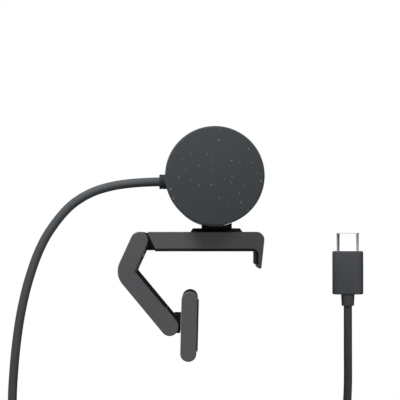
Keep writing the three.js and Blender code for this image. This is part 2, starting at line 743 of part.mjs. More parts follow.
// A finned aluminium block against the processor.
function heatSpreader() {
  const front = chipBack - PIN_GAP;
  const root = front - SPREADER_BASE;
  const half = SPREADER_LENGTH / 2;
  const base = boxBetween([root, -half, -SPREADER_HEIGHT / 2], [front, half, SPREADER_HEIGHT / 2]);
  const fins = FIN_HEIGHTS.map((z) => boxBetween(
    [root - FIN_REACH, -half, z - FIN_THICKNESS / 2],
    [front - SPREADER_BASE / 2, half, z + FIN_THICKNESS / 2],
  ));
  return join(base, ...fins).translate(0, PROCESSOR_Y, 0);
}

function boardSocket() {
  const [depth, length, height] = SOCKET_SIZE;
  return boxBetween([chipFront - depth, -length / 2, -height / 2], [chipFront, length / 2, height / 2])
    .translate(0, SOCKET_Y, -RELIEF_DROP);
}

// The anchor grips the cord behind the strain relief.
function cableAnchor() {
  const [depth, length, height] = ANCHOR_SIZE;
  const block = boxBetween(
    [ANCHOR_BACK_X, -length / 2, -height / 2],
    [ANCHOR_BACK_X + depth, length / 2, height / 2],
  );
  const bore = alongX(discAlongY(CORD_DIAMETER / 2 + PIN_GAP, -RELIEF_REACH, 0, 16));
  return cut(block, bore).translate(0, 0, -RELIEF_DROP);
}

function strainRelief() {
  return alongX(turned([
    [0, -RELIEF_REACH], [RELIEF_RADIUS - 0.25, -RELIEF_REACH], [RELIEF_RADIUS, -RELIEF_REACH + 0.25],
    [RELIEF_RADIUS, -innerRadius + SLIP_GAP + 0.5], [RELIEF_RADIUS + 1.1, -innerRadius + SLIP_GAP + 0.5],
    [RELIEF_RADIUS + 1.1, -innerRadius + 2.2], [0, -innerRadius + 2.2],
  ])).translate(0, 0, -RELIEF_DROP);
}

// A curved steel strip that the tilt magnets hold; it reaches over the whole tilt.
function keeperPlate() {
  const outer = innerRadius - SLIP_GAP;
  const half = KEEPER_LENGTH / 2;
  const ring = ringAlongY(outer - KEEPER_THICKNESS, outer, -half, half, BARREL_FACETS);
  const back = degrees(-90 - KEEPER_BACK_ANGLE);
  const front = degrees(-90 + KEEPER_FRONT_ANGLE);
  const far = 3 * BARREL_RADIUS;
  const sector = polygon(
    [0, 0],
    [far * Math.cos(back), far * Math.sin(back)],
    [0, -far],
    [far * Math.cos(front), far * Math.sin(front)],
  );
  return common(ring, pulledAlongY(sector, -BARREL_LENGTH, BARREL_LENGTH));
}

// The near end: a disc with a softly rounded edge and a spigot inside the housing.
function endCap() {
  const edge = CAP_EDGE_RADIUS;
  const rounding = [0, 30, 60, 90].map((angle) => [
    BARREL_RADIUS - edge + edge * Math.sin(degrees(angle)),
    nearEnd + edge - edge * Math.cos(degrees(angle)),
  ]);
  const spigot = innerRadius - SLIP_GAP;
  const back = nearEnd + CAP_THICKNESS;
  return turned([
    [0, nearEnd], ...rounding, [BARREL_RADIUS, back], [spigot, back], [spigot, back + 2.2],
    [spigot - 1.2, back + 2.2], [spigot - 1.2, back], [0, back],
  ], BARREL_FACETS);
}

// ---- Privacy shutter ----

const hubOuter = AXLE_RADIUS + HUB_WALL;
const axleEnd = farEnd - CAP_THICKNESS - AXLE_SHORT_OF_CAP;

function knobBulkhead() {
  return turned([
    [0, bulkheadNear], [BULKHEAD_RADIUS, bulkheadNear],
    [BULKHEAD_RADIUS, bulkheadNear + BULKHEAD_THICKNESS], [AXLE_RADIUS, bulkheadNear + BULKHEAD_THICKNESS],
    [AXLE_RADIUS, axleEnd], [0, axleEnd],
  ], 48);
}

function detentWasher() {
  const from = bulkheadNear + BULKHEAD_THICKNESS + PIN_GAP;
  return ringAlongY(AXLE_RADIUS + PIN_GAP, hubOuter, from, from + DETENT_THICKNESS);
}

// A cup with a hub; the hub turns on the bulkhead's axle.
function shutterKnob() {
  const front = knobStart;
  const back = farEnd - CAP_THICKNESS - SEAT_GAP;
  const inner = BARREL_RADIUS - KNOB_WALL;
  const floorFrom = front + KNOB_FLOOR;
  const hubTop = axleEnd - 1;
  return turned([
    [AXLE_RADIUS + PIN_GAP, front], [BARREL_RADIUS, front], [BARREL_RADIUS, back],
    [inner, back], [inner, floorFrom], [hubOuter, floorFrom],
    [hubOuter, hubTop], [AXLE_RADIUS + PIN_GAP, hubTop],
  ], BARREL_FACETS);
}

function knobRetainer() {
  return discAlongY(
    AXLE_RADIUS + RETAINER_RIM,
    axleEnd + SEAT_GAP,
    axleEnd + RETAINER_THICKNESS,
  );
}

function knobCap() {
  const edge = CAP_EDGE_RADIUS;
  const rounding = [90, 60, 30, 0].map((angle) => [
    BARREL_RADIUS - edge + edge * Math.sin(degrees(angle)),
    farEnd - edge + edge * Math.cos(degrees(angle)),
  ]);
  const back = farEnd - CAP_THICKNESS;
  return turned([[0, back], [BARREL_RADIUS, back], ...rounding, [0, farEnd]], BARREL_FACETS);
}

// A curved blade, parked at the top of the barrel and turned to the front to shut.
function shutterBlade() {
  const ring = ringAlongY(SHUTTER_RADIUS - SHUTTER_THICKNESS, SHUTTER_RADIUS,
    -SHUTTER_PAST_LENS, knobStart - SLIP_GAP, BARREL_FACETS);
  const reach = 3 * BARREL_RADIUS;
  const half = degrees(SHUTTER_HALF_ANGLE);
  const wedge = polygon(
    [0, 0],
    [reach * Math.cos(half), -reach * Math.sin(half)],
    [reach * Math.cos(half), reach * Math.sin(half)],
  );
  const shut = common(ring, pulledAlongY(wedge, -BARREL_LENGTH, BARREL_LENGTH));
  return shut.rotateY(degrees(-SHUTTER_TURN));
}

// ---- Cord ----

const cordRadius = CORD_DIAMETER / 2;
const shellRoot = PLUG_TIP_Z - SHELL_LENGTH;
const gripBottom = shellRoot - SEAT_GAP - GRIP_LENGTH;
const plugReliefBottom = gripBottom - SEAT_GAP - PLUG_RELIEF_LENGTH;
const reliefEndX = -BARREL_BEHIND_PIVOT - RELIEF_REACH;
const reliefZ = barrelZ - RELIEF_DROP;
const columnPitch = COIL_PITCH * Math.sqrt(3) / 2;
const lastColumnY = (columnPitch * (COIL_COLUMNS - 1)) / 2;
const lastTurnRadius = COIL_MIDDLE_RADIUS + (COIL_PITCH * COIL_ROWS) / 2;

// From the strain relief, over and down behind the clip, to the coil's rear side.
const leadRoute = [
  [reliefEndX - SLIP_GAP, 0, reliefZ],
  [-23, 0, reliefZ - 0.1],
  [-30, 0, 23.3],
  [-36.8, 0, 22.2],
  [-43.7, 0, 19.9],
  [-50.6, 0, 15.4],
  [-57.4, 0, 7.2],
  [-61.2, 0, 0.2],
  [-64.8, 0, -10],
  [-67.3, 0, -20.4],
  [-68.9, 0, -30.8],
  [-69.9, 0, -41.2],
  [-70.4, 0, -52],
  [-69.6, -0.4, -64],
  [-66, -1.2, -77],
  [-59.5, -2.2, -88.5],
  [-51.5, -3, -98],
  [-43.6, -3.6, -108.5],
  [-37.6, -3.9, -118],
  [-34.7, -4, -124.6],
];

// From the coil's front side up to the plug.
const tailRoute = [
  [11.2, 4.2, -124.6],
  [13.8, 6.6, -117.5],
  [19.5, 12.5, -106],
  [27.5, 20.5, -95.5],
  [37.8, 31.8, -85.5],
  [44.6, 39.6, -74],
  [48, 43.8, -62],
  [48.9, 44.9, -52],
  [PLUG_X, PLUG_Y, -36],
  [PLUG_X, PLUG_Y, plugReliefBottom - SLIP_GAP],
];

const asCurve = (route) => new THREE.CatmullRomCurve3(
  route.map((point) => new THREE.Vector3(...point)),
  false,
  "centripetal",
);

function cordTube(route) {
  const curve = asCurve(route);
  const section = new THREE.Shape();
  for (let i = 0; i < CORD_FACETS; i += 1) {
    const angle = (2 * Math.PI * (i + 0.5)) / CORD_FACETS;
    const corner = [cordRadius * Math.cos(angle), cordRadius * Math.sin(angle)];
    if (i === 0) section.moveTo(...corner);
    else section.lineTo(...corner);
  }
  return new THREE.ExtrudeGeometry(section, {
    steps: Math.round(curve.getLength() / (2.2 * CORD_DIAMETER)),
    extrudePath: curve,
  });
}

// The ring that the wound turns fill.
const coilInner = COIL_MIDDLE_RADIUS - (COIL_PITCH * (COIL_ROWS - 1)) / 2 - cordRadius;
const coilOuter = lastTurnRadius + cordRadius;
const coilHalfWidth = lastColumnY + cordRadius;

function cordCoil() {
  const middle = (coilInner + coilOuter) / 2;
  const half = (coilOuter - coilInner) / 2;
  const corner = 0.45;
  return turned([
    [coilInner, -coilHalfWidth * corner], [middle - half * corner, -coilHalfWidth],
    [middle + half * corner, -coilHalfWidth], [coilOuter, -coilHalfWidth * corner],
    [coilOuter, coilHalfWidth * corner], [middle + half * corner, coilHalfWidth],
    [middle - half * corner, coilHalfWidth], [coilInner, coilHalfWidth * corner],
  ], 40).translate(COIL_X, 0, COIL_Z);
}

// A band round the bundle at the coil's top.
function coilTie() {
  const sag = coilInner - Math.sqrt(coilInner ** 2 - (TIE_WIDTH / 2) ** 2);
  const low = coilInner - sag - SLIP_GAP;
  const high = coilOuter + SLIP_GAP;
  const side = coilHalfWidth + SLIP_GAP;
  const outer = roundedRectangle(2 * (side + TIE_THICKNESS), high - low + 2 * TIE_THICKNESS, 3);
  const inner = roundedRectangle(2 * side, high - low, 2.2);
  outer.holes.push(inner);
  return pulledAlongZ(outer, -TIE_WIDTH / 2, TIE_WIDTH / 2)
    .rotateX(Math.PI / 2)
    .rotateZ(Math.PI / 2)
    .translate(COIL_X, 0, COIL_Z + (low + high) / 2);
}

// ---- Plug, pointing up; X is its width ----

const atPlug = (geometry) => geometry.translate(PLUG_X, PLUG_Y, 0);

function plugShell() {
  const tube = pulledAlongZ(
    roundedRectangle(SHELL_WIDTH, SHELL_THICKNESS, SHELL_THICKNESS / 2 - 0.01),
    shellRoot,
    PLUG_TIP_Z,
  );
  const mouth = pulledAlongZ(
    roundedRectangle(
      SHELL_WIDTH - 2 * SHELL_WALL,
      SHELL_THICKNESS - 2 * SHELL_WALL,
      SHELL_THICKNESS / 2 - SHELL_WALL - 0.01,
    ),
    shellRoot + SHELL_ROOT,
    PLUG_TIP_Z + 1,
  );
  return atPlug(cut(tube, mouth));
}

// The contact insert stands inside the shell, with a slot for the socket's tongue.
function plugContacts() {
  const width = SHELL_WIDTH - 2 * SHELL_WALL - 1.1;
  const depth = SHELL_THICKNESS - 2 * SHELL_WALL - 2 * PIN_GAP;
  const block = boxBetween(
    [-width / 2, -depth / 2, shellRoot + SHELL_ROOT + SEAT_GAP],
    [width / 2, depth / 2, PLUG_TIP_Z - 0.7],
  );
  const slot = boxBetween(
    [-width / 2 + 0.5, -0.4, shellRoot + SHELL_ROOT + 0.8],
    [width / 2 - 0.5, 0.4, PLUG_TIP_Z],
  );
  return atPlug(cut(block, slot));
}

function plugGrip() {
  const body = new THREE.ExtrudeGeometry(
    roundedRectangle(GRIP_WIDTH - 1.2, GRIP_THICKNESS - 1.2, 1.8),
    { depth: GRIP_LENGTH - 1.2, bevelThickness: 0.6, bevelSize: 0.6, bevelSegments: 3, curveSegments: 6 },
  );
  return atPlug(body.translate(0, 0, gripBottom + 0.6));
}

function plugRelief() {
  const bottom = plugReliefBottom;
  const top = gripBottom - SEAT_GAP;
  return atPlug(alongZ(turned([
    [0, bottom], [PLUG_RELIEF_RADIUS - 0.6, bottom], [PLUG_RELIEF_RADIUS - 0.2, bottom + 0.5],
    [PLUG_RELIEF_RADIUS, top], [0, top],
  ])));
}

// ---- Materials ----

const finish = (color, roughness, metalness = 0) =>
  new THREE.MeshStandardMaterial({ color, roughness, metalness });

const finishes = {
  speckled: () => finish(0x474b4e, 0.75),
  shell: () => finish(0x3e4245, 0.7),
  arm: () => finish(0x565859, 0.5),
  blackPlastic: () => finish(0x17181a, 0.55),
  rubber: () => finish(0x1c1c1c, 0.9),
  gloss: () => finish(0x0b0c0d, 0.12),
  glass: () => finish(0x22262c, 0.05),
  steel: () => finish(0xb8babc, 0.3, 1),
  aluminium: () => finish(0xa9abad, 0.4, 1),
  board: () => finish(0x1d3b2a, 0.6),
  chip: () => finish(0x111214, 0.45),
  light: () => finish(0xdfe4e8, 0.3),
  cord: () => finish(0x3f4347, 0.75),
  bright: () => finish(0xe6e6e6, 0.25, 1),
};

function piece(name, geometry, material) {
  const mesh = new THREE.Mesh(geometry, finishes[material]());
  mesh.name = name;
  return mesh;
}

// ---- Assembly ----

const clip = new THREE.Group();
clip.add(
  piece("clip_bar", clipBar(), "arm"),
  piece("clip_pad", clipPad(), "rubber"),
  piece("hinge_bracket", hingeBracket(), "blackPlastic"),
  piece("spring_washer", springWasher(), "steel"),
);

const swivel = new THREE.Group();
swivel.add(
  piece("swivel_disc", swivelDisc(), "blackPlastic"),
  piece("saddle", saddle(), "blackPlastic"),
  piece("pivot_bolt", pivotBolt(), "steel"),
  piece("tilt_magnet_near", magnetAt(-MAGNET_OFFSET, 0), "steel"),
  piece("tilt_magnet_far", magnetAt(MAGNET_OFFSET, 0), "steel"),
);

const camera = new THREE.Group();
camera.position.set(-BARREL_BEHIND_PIVOT, 0, barrelZ);
camera.add(
  piece("rear_housing", rearHousing(), "shell"),
  piece("front_housing", frontHousing(), "shell"),
  piece("end_cap", endCap(), "speckled"),
  piece("front_window", frontWindow(), "gloss"),
  piece("lens_cover", lensCover(), "glass"),
  piece("lens_barrel", lensBarrel(), "blackPlastic"),
  piece("front_lens", frontLens(), "glass"),
  piece("lens_holder", lensHolder(), "blackPlastic"),
  piece("sensor_board", sensorBoard(), "board"),
  piece("image_sensor", imageSensor(), "chip"),
  piece("status_light", statusLight(), "light"),
  piece("microphone_near", microphone(-MICROPHONE_Y), "steel"),
  piece("microphone_far", microphone(MICROPHONE_Y), "steel"),
  piece("inner_chassis", innerChassis(), "blackPlastic"),
  piece("main_board", mainBoard(), "board"),
  piece("board_screw_near", boardScrew(BOARD_SCREW_PLACES[0]), "steel"),
  piece("board_screw_far", boardScrew(BOARD_SCREW_PLACES[1]), "steel"),
  piece("processor", processor(), "chip"),
  piece("heat_spreader", heatSpreader(), "aluminium"),
  piece("board_socket", boardSocket(), "blackPlastic"),
  piece("cable_anchor", cableAnchor(), "steel"),
  piece("strain_relief", strainRelief(), "cord"),
  piece("keeper_plate", keeperPlate(), "steel"),
  piece("knob_bulkhead", knobBulkhead(), "blackPlastic"),
  piece("detent_washer", detentWasher(), "steel"),
  piece("knob_retainer", knobRetainer(), "steel"),
);

const shutter = new THREE.Group();
shutter.add(
  piece("shutter_knob", shutterKnob(), "shell"),
  piece("knob_cap", knobCap(), "speckled"),
  piece("shutter_blade", shutterBlade(), "blackPlastic"),
);
camera.add(shutter);

const arm = new THREE.Group();
arm.add(
  piece("clip_arm", clipArm(), "arm"),
  piece("arm_inlay", armInlay(), "blackPlastic"),
  piece("arm_pin", pinAt(armHinge, PIN_RADIUS, pinHalf), "steel"),
  piece("foot_pin", pinAt(footHinge, PIN_RADIUS, pinHalf), "steel"),
);

for (const [end, side] of [["near", -1], ["far", 1]]) {
  const eyeHalf = BRACKET_WIDTH / 2;
  arm.add(
    piece("arm_washer_" + end, hingeWasher(armHinge, eyeHalf, side), "steel"),
    piece("foot_washer_" + end, hingeWasher(footHinge, eyeHalf, side), "steel"),
  );
}

const foot = new THREE.Group();
foot.position.set(footHinge.x, 0, footHinge.y);
foot.rotation.y = degrees(FOOT_TILT);
foot.add(
  piece("foot_block", footBlock(), "arm"),
  piece("foot_pad", footPad(), "rubber"),
  piece("foot_lug", footLug(), "blackPlastic"),
);

const cord = new THREE.Group();
cord.add(
  piece("cord_lead", cordTube(leadRoute), "cord"),
  piece("cord_coil", cordCoil(), "cord"),
  piece("coil_tie", coilTie(), "rubber"),
  piece("cord_tail", cordTube(tailRoute), "cord"),
  piece("plug_relief", plugRelief(), "cord"),
  piece("plug_grip", plugGrip(), "cord"),
  piece("plug_shell", plugShell(), "bright"),
  piece("plug_contacts", plugContacts(), "blackPlastic"),
);

const webcam = new THREE.Group();
webcam.add(clip, swivel, camera, arm, foot, cord);

export default webcam;
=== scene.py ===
"""A barrel webcam on a folding monitor clip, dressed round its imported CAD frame."""
import json
import math

import bmesh
import bpy
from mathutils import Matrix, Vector


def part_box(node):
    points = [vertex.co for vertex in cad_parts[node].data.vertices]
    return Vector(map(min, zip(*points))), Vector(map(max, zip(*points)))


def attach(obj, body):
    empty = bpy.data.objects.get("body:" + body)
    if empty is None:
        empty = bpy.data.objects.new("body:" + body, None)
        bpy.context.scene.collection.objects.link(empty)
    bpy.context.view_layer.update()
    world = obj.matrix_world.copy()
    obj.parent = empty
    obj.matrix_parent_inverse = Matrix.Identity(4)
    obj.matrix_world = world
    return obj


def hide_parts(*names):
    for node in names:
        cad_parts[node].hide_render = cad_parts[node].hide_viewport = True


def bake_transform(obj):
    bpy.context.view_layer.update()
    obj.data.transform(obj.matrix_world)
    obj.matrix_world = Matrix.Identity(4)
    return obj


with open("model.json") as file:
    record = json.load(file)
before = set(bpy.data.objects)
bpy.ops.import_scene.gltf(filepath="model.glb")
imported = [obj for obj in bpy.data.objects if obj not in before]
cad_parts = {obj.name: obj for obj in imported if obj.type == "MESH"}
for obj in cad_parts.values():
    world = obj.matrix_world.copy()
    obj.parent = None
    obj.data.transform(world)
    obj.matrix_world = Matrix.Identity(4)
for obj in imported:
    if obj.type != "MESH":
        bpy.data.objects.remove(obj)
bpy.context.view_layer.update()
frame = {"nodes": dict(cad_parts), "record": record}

MM = 0.001
nodes = frame["nodes"]
scene = bpy.context.scene


# ---- Camera, floor and light ----

CAMERA_PLACE = (-4.98, -624.0, 6.2)
CAMERA_AIM = (-5.67, 0.0, 17.6)
FOCAL_LENGTH = 162.5
FLOOR_HEIGHT = -200.0
FLOOR_RADIUS = 1.3


def millimetres(*values):
    return Vector(values) * MM


def make_camera():
    data = bpy.data.cameras.new("camera")
    data.lens = FOCAL_LENGTH
    data.sensor_width = 36.0
    data.clip_start = 0.01
    data.clip_end = 50.0
    camera = bpy.data.objects.new("camera", data)
    scene.collection.objects.link(camera)
    camera.location = millimetres(*CAMERA_PLACE)
    way = millimetres(*CAMERA_AIM) - camera.location
    camera.rotation_euler = way.to_track_quat("-Z", "Y").to_euler()
    scene.camera = camera


def area_light(name, place, aim, size, power, colour=(1.0, 1.0, 1.0)):
    data = bpy.data.lights.new(name, "AREA")
    data.shape = "DISK"
    data.size = size * MM
    data.energy = power
    data.color = colour
    light = bpy.data.objects.new(name, data)
    scene.collection.objects.link(light)
    light.location = millimetres(*place)
    way = millimetres(*aim) - light.location
    light.rotation_euler = way.to_track_quat("-Z", "Y").to_euler()


def make_world():
    """A dim studio that lights the object, seen against plain white."""
    world = bpy.data.worlds.new("studio")
    scene.world = world
    world.use_nodes = True
    tree = world.node_tree
    place = tree.nodes.new("ShaderNodeTexCoord")
    split = tree.nodes.new("ShaderNodeSeparateXYZ")
    tree.links.new(place.outputs["Generated"], split.inputs["Vector"])
    rise = tree.nodes.new("ShaderNodeMapRange")
    for key, number in (("From Min", -0.03), ("From Max", 0.01), ("To Min", 0.7), ("To Max", 0.08)):
        rise.inputs[key].default_value = number
    tree.links.new(split.outputs["Z"], rise.inputs["Value"])
    background = tree.nodes["Background"]
    background.inputs["Color"].default_value = (1.0, 1.0, 1.0, 1.0)
    tree.links.new(rise.outputs["Result"], background.inputs["Strength"])
    white = tree.nodes.new("ShaderNodeBackground")
    white.inputs["Color"].default_value = (1.0, 1.0, 1.0, 1.0)
    rays = tree.nodes.new("ShaderNodeLightPath")
    mix = tree.nodes.new("ShaderNodeMixShader")
    tree.links.new(rays.outputs["Is Camera Ray"], mix.inputs["Fac"])
    tree.links.new(background.outputs["Background"], mix.inputs[1])
    tree.links.new(white.outputs["Background"], mix.inputs[2])
    tree.links.new(mix.outputs["Shader"], tree.nodes["World Output"].inputs["Surface"])


make_camera()
make_world()
scene.view_settings.view_transform = "Standard"
area_light("key", (-110, -105, 200), (0, -40, 10), 90, 0.52)
area_light("fill", (190, -150, 250), (0, -20, 10), 130, 0.32)
area_light("front", (70, -690, 10), (20, 0, 0), 330, 0.235)


# ---- Materials ----

class Nodes:
    """A short way to build one material's nodes."""

    def __init__(self, name):
        self.material = bpy.data.materials.new(name)
        self.material.use_nodes = True
        self.tree = self.material.node_tree
        self.shader = self.tree.nodes["Principled BSDF"]

    def add(self, kind, **settings):
        node = self.tree.nodes.new("ShaderNode" + kind)
        for key, value in settings.items():
            setattr(node, key, value)
        return node

    def link(self, output, target):
        self.tree.links.new(output, target)

    def set(self, **values):
        for key, value in values.items():
            self.shader.inputs[key.replace("_", " ")].default_value = value

    def place(self, scale=1.0):
        """Object coordinates in millimetres, times scale."""
        coordinates = self.add("TexCoord")
        mapping = self.add("Mapping")
        mapping.inputs["Scale"].default_value = (scale / MM,) * 3
        self.link(coordinates.outputs["Object"], mapping.inputs["Vector"])
        return mapping.outputs["Vector"]

    def noise(self, scale, detail=3.0, roughness=0.5):
        texture = self.add("TexNoise")
        texture.inputs["Scale"].default_value = scale
        texture.inputs["Detail"].default_value = detail
        texture.inputs["Roughness"].default_value = roughness
        self.link(self.place(), texture.inputs["Vector"])
        return texture.outputs["Fac"]

    def ramp(self, value, low, high, from_low=0.0, from_high=1.0):
        """Maps value from one range to another, clamped."""
        node = self.add("MapRange")
        limits = {"From Min": from_low, "From Max": from_high, "To Min": low, "To Max": high}
        for key, number in limits.items():
            node.inputs[key].default_value = number
        self.link(value, node.inputs["Value"])
        return node.outputs["Result"]

    def maths(self, operation, first, second):
        node = self.add("Math", operation=operation)
        for socket, value in zip(node.inputs, (first, second)):
            if isinstance(value, (int, float)):
                socket.default_value = value
            else:
                self.link(value, socket)
        return node.outputs[0]

    def mix(self, factor, first, second):
        """Mixes two colours, each an RGB tuple or a socket."""
        node = self.add("Mix", data_type="RGBA")
        if isinstance(factor, (int, float)):
            node.inputs["Factor"].default_value = factor
        else:
            self.link(factor, node.inputs["Factor"])
        for key, colour in ((6, first), (7, second)):
            if isinstance(colour, tuple):
                node.inputs[key].default_value = (*colour, 1.0)
            else:
                self.link(colour, node.inputs[key])
        return node.outputs[2]

    def bump(self, height, strength, distance=0.05):
        node = self.add("Bump")
        node.inputs["Strength"].default_value = strength
        node.inputs["Distance"].default_value = distance * MM
        self.link(height, node.inputs["Height"])
        self.link(node.outputs["Normal"], self.shader.inputs["Normal"])

    def colour(self, socket):
        self.link(socket, self.shader.inputs["Base Color"])

    def rough(self, socket):
        self.link(socket, self.shader.inputs["Roughness"])


def moulded_plastic(name, colour, roughness, grain=2.2, strength=0.25, variation=0.08, specular=0.5):
    """Moulded plastic: a fine spark texture, faint mottling and uneven gloss."""
    made = Nodes(name)
    made.set(Specular_IOR_Level=specular)
    broad = made.noise(0.12, 2.0)
    dark = tuple(value * (1 - variation) for value in colour)
    light = tuple(value * (1 + variation) for value in colour)
    made.colour(made.mix(broad, dark, light))
    fine = made.noise(grain, 3.0, 0.6)
    made.rough(made.ramp(fine, roughness - 0.06, roughness + 0.06, 0.3, 0.7))
    made.bump(fine, strength)
    return made.material


def flecks(made, cell, kept, radius, seed):
    """A mask of scattered flecks: one fleck in some cells, each of its own size."""
    texture = made.add("TexVoronoi", feature="F1")
    texture.inputs["Scale"].default_value = 1.0 / cell
    texture.inputs["Randomness"].default_value = 1.0
    shift = made.add("VectorMath", operation="ADD")
    shift.inputs[1].default_value = (seed, seed * 1.7, seed * 0.6)
    made.link(made.place(), shift.inputs[0])
    made.link(shift.outputs["Vector"], texture.inputs["Vector"])
    split = made.add("SeparateColor")
    made.link(texture.outputs["Color"], split.inputs["Color"])
    chosen = made.maths("GREATER_THAN", split.outputs["Red"], 1.0 - kept)
    size = made.ramp(split.outputs["Green"], radius * 0.45, radius)
    edge = made.maths("DIVIDE", texture.outputs["Distance"], made.maths("DIVIDE", size, cell))
    dot = made.ramp(edge, 1.0, 0.0, 0.55, 1.0)
    strength = made.ramp(split.outputs["Blue"], 0.25, 1.0)
    return made.maths("MULTIPLY", made.maths("MULTIPLY", dot, chosen), strength)


def speckled_plastic(name, colour, fleck_colour, roughness):
    """Matte plastic with sparse pale flecks moulded into it."""
    made = Nodes(name)
    made.set(Specular_IOR_Level=0.15)
    broad = made.noise(0.1, 2.0)
    base = made.mix(broad, tuple(v * 0.96 for v in colour), tuple(v * 1.04 for v in colour))
    large = flecks(made, 1.3, 0.42, 0.33, 3.1)
    small = flecks(made, 0.8, 0.4, 0.2, 11.7)
    faint = made.maths("MULTIPLY", small, 0.3)
    made.colour(made.mix(made.maths("MAXIMUM", large, faint), base, fleck_colour))
    fine = made.noise(2.6, 3.0, 0.6)
    made.rough(made.ramp(fine, roughness - 0.05, roughness + 0.05, 0.3, 0.7))
    made.bump(fine, 0.2)
    return made.material


def rubber(name, colour, roughness=0.75):
    made = Nodes(name)
    made.set(Specular_IOR_Level=0.3, Sheen_Weight=0.08, Sheen_Roughness=0.5)
    fine = made.noise(3.0, 4.0, 0.65)
    made.colour(made.mix(fine, tuple(v * 0.85 for v in colour), tuple(v * 1.2 for v in colour)))
    made.rough(made.ramp(fine, roughness - 0.08, roughness + 0.08, 0.3, 0.7))
    made.bump(fine, 0.35)
    return made.material


def metal(name, colour, roughness, brushed=0.0):
    """Bare metal with fine drawn lines along Z when brushed."""
    made = Nodes(name)
    made.set(Metallic=1.0)
    fine = made.noise(1.2, 3.0)
    made.colour(made.mix(fine, tuple(v * 0.94 for v in colour), colour))
    if brushed:
        stretch = made.add("Mapping")
        stretch.inputs["Scale"].default_value = (9.0, 9.0, 0.25)
        made.link(made.place(), stretch.inputs["Vector"])
        lines = made.add("TexNoise")
        lines.inputs["Scale"].default_value = 1.0
        lines.inputs["Detail"].default_value = 2.0
        made.link(stretch.outputs["Vector"], lines.inputs["Vector"])
        made.bump(lines.outputs["Fac"], brushed, 0.02)
        made.rough(made.ramp(lines.outputs["Fac"], roughness - 0.04, roughness + 0.06, 0.3, 0.7))
    else:
        made.rough(made.ramp(fine, roughness - 0.03, roughness + 0.05, 0.3, 0.7))
    return made.material


def gloss_black(name):
    made = Nodes(name)
    made.set(Coat_Weight=0.5, Coat_Roughness=0.04)
    fine = made.noise(0.4, 2.0)
    made.colour(made.mix(fine, (0.004, 0.004, 0.005), (0.007, 0.007, 0.008)))
    made.rough(made.ramp(fine, 0.08, 0.14, 0.3, 0.7))
    return made.material


def glass(name, tint, roughness=0.02):
    made = Nodes(name)
    made.set(Base_Color=(*tint, 1.0), Transmission_Weight=1.0, IOR=1.5)
    smears = made.noise(0.25, 3.0)
    made.rough(made.ramp(smears, roughness, roughness + 0.02, 0.4, 0.8))
    return made.material


def circuit_board(name):
    """Green solder mask with paler copper runs under it."""
    made = Nodes(name)
    cells = made.add("TexBrick")
    cells.inputs["Scale"].default_value = 0.45
    cells.inputs["Mortar Size"].default_value = 0.035
    made.link(made.place(), cells.inputs["Vector"])
    made.colour(made.mix(cells.outputs["Fac"], (0.008, 0.05, 0.022), (0.03, 0.12, 0.05)))
    fine = made.noise(1.5)
    made.rough(made.ramp(fine, 0.35, 0.5, 0.3, 0.7))
    made.bump(cells.outputs["Fac"], 0.2, 0.03)
    return made.material


MATERIALS = {
    "speckled_plastic": speckled_plastic(
        "speckled_plastic", (0.078, 0.087, 0.093), (0.33, 0.35, 0.37), 0.62,
    ),
    "shell_plastic": moulded_plastic("shell_plastic", (0.058, 0.066, 0.073), 0.3, 2.4, 0.12),
    "arm_plastic": moulded_plastic("arm_plastic", (0.122, 0.125, 0.13), 0.5, 3.2, 0.04, 0.03),
    "black_plastic": moulded_plastic(
        "black_plastic", (0.011, 0.0115, 0.012), 0.6, 2.4, 0.12, 0.1, 0.25,
    ),
    "rubber": rubber("rubber", (0.011, 0.011, 0.011)),
    "gloss_black": gloss_black("gloss_black"),
    "glass": glass("glass", (0.93, 0.95, 0.97)),
    "steel": metal("steel", (0.62, 0.62, 0.63), 0.3, 0.15),
    "aluminium": metal("aluminium", (0.7, 0.71, 0.72), 0.38, 0.2),
    "circuit_board": circuit_board("circuit_board"),
    "chip": moulded_plastic("chip", (0.012, 0.012, 0.014), 0.5, 3.0, 0.2),
    "light_pipe": moulded_plastic("light_pipe", (0.75, 0.78, 0.8), 0.3, 2.0, 0.1),
    "cord_sheath": moulded_plastic("cord_sheath", (0.1, 0.107, 0.115), 0.6, 3.2, 0.06, 0.04, 0.1),
    "plug_steel": metal("plug_steel", (0.97, 0.97, 0.97), 0.16, 0.01),
}

COLLAR_PLASTIC = moulded_plastic("collar_plastic", (0.045, 0.049, 0.053), 0.6, 3.0, 0.1, 0.04, 0.15)

node_slots = {part["node"]: part["material_slot"] for part in frame["record"]["subparts"]}
for node, thing in nodes.items():
    thing.data.materials.clear()
    thing.data.materials.append(MATERIALS[node_slots[node]])


# ---- Shape helpers ----

FINE = 192


def make_piece(name, vertices, faces, slot, body, replaced, sharp=32.0):
    """A smooth-shaded closed mesh, from corners in millimetres, riding on a body."""
    mesh = bpy.data.meshes.new(name)
    mesh.from_pydata([Vector(corner) * MM for corner in vertices], [], faces)
    shape = bmesh.new()
    shape.from_mesh(mesh)
    bmesh.ops.remove_doubles(shape, verts=shape.verts, dist=1e-8)
    bmesh.ops.recalc_face_normals(shape, faces=shape.faces)
    shape.to_mesh(mesh)
    shape.free()
    mesh.shade_smooth()
    mesh.set_sharp_from_angle(angle=math.radians(sharp))
    mesh.materials.append(MATERIALS[slot])
    piece = bpy.data.objects.new(name, mesh)
    scene.collection.objects.link(piece)
    if body:
        evened = piece.modifiers.new("even shading", "WEIGHTED_NORMAL")
        evened.keep_sharp = True
    if body:
        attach(piece, body)
    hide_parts(*replaced)
    return piece


def grid_faces(rows, columns, close_rows=True, close_columns=True):
    """Quads joining a grid of corners listed row by row."""
    faces = []
    for i in range(rows if close_rows else rows - 1):
        for j in range(columns if close_columns else columns - 1):
            right = (j + 1) % columns
            below = (i + 1) % rows
            here, under = i * columns, below * columns
            faces.append((here + j, here + right, under + right, under + j))
    return faces


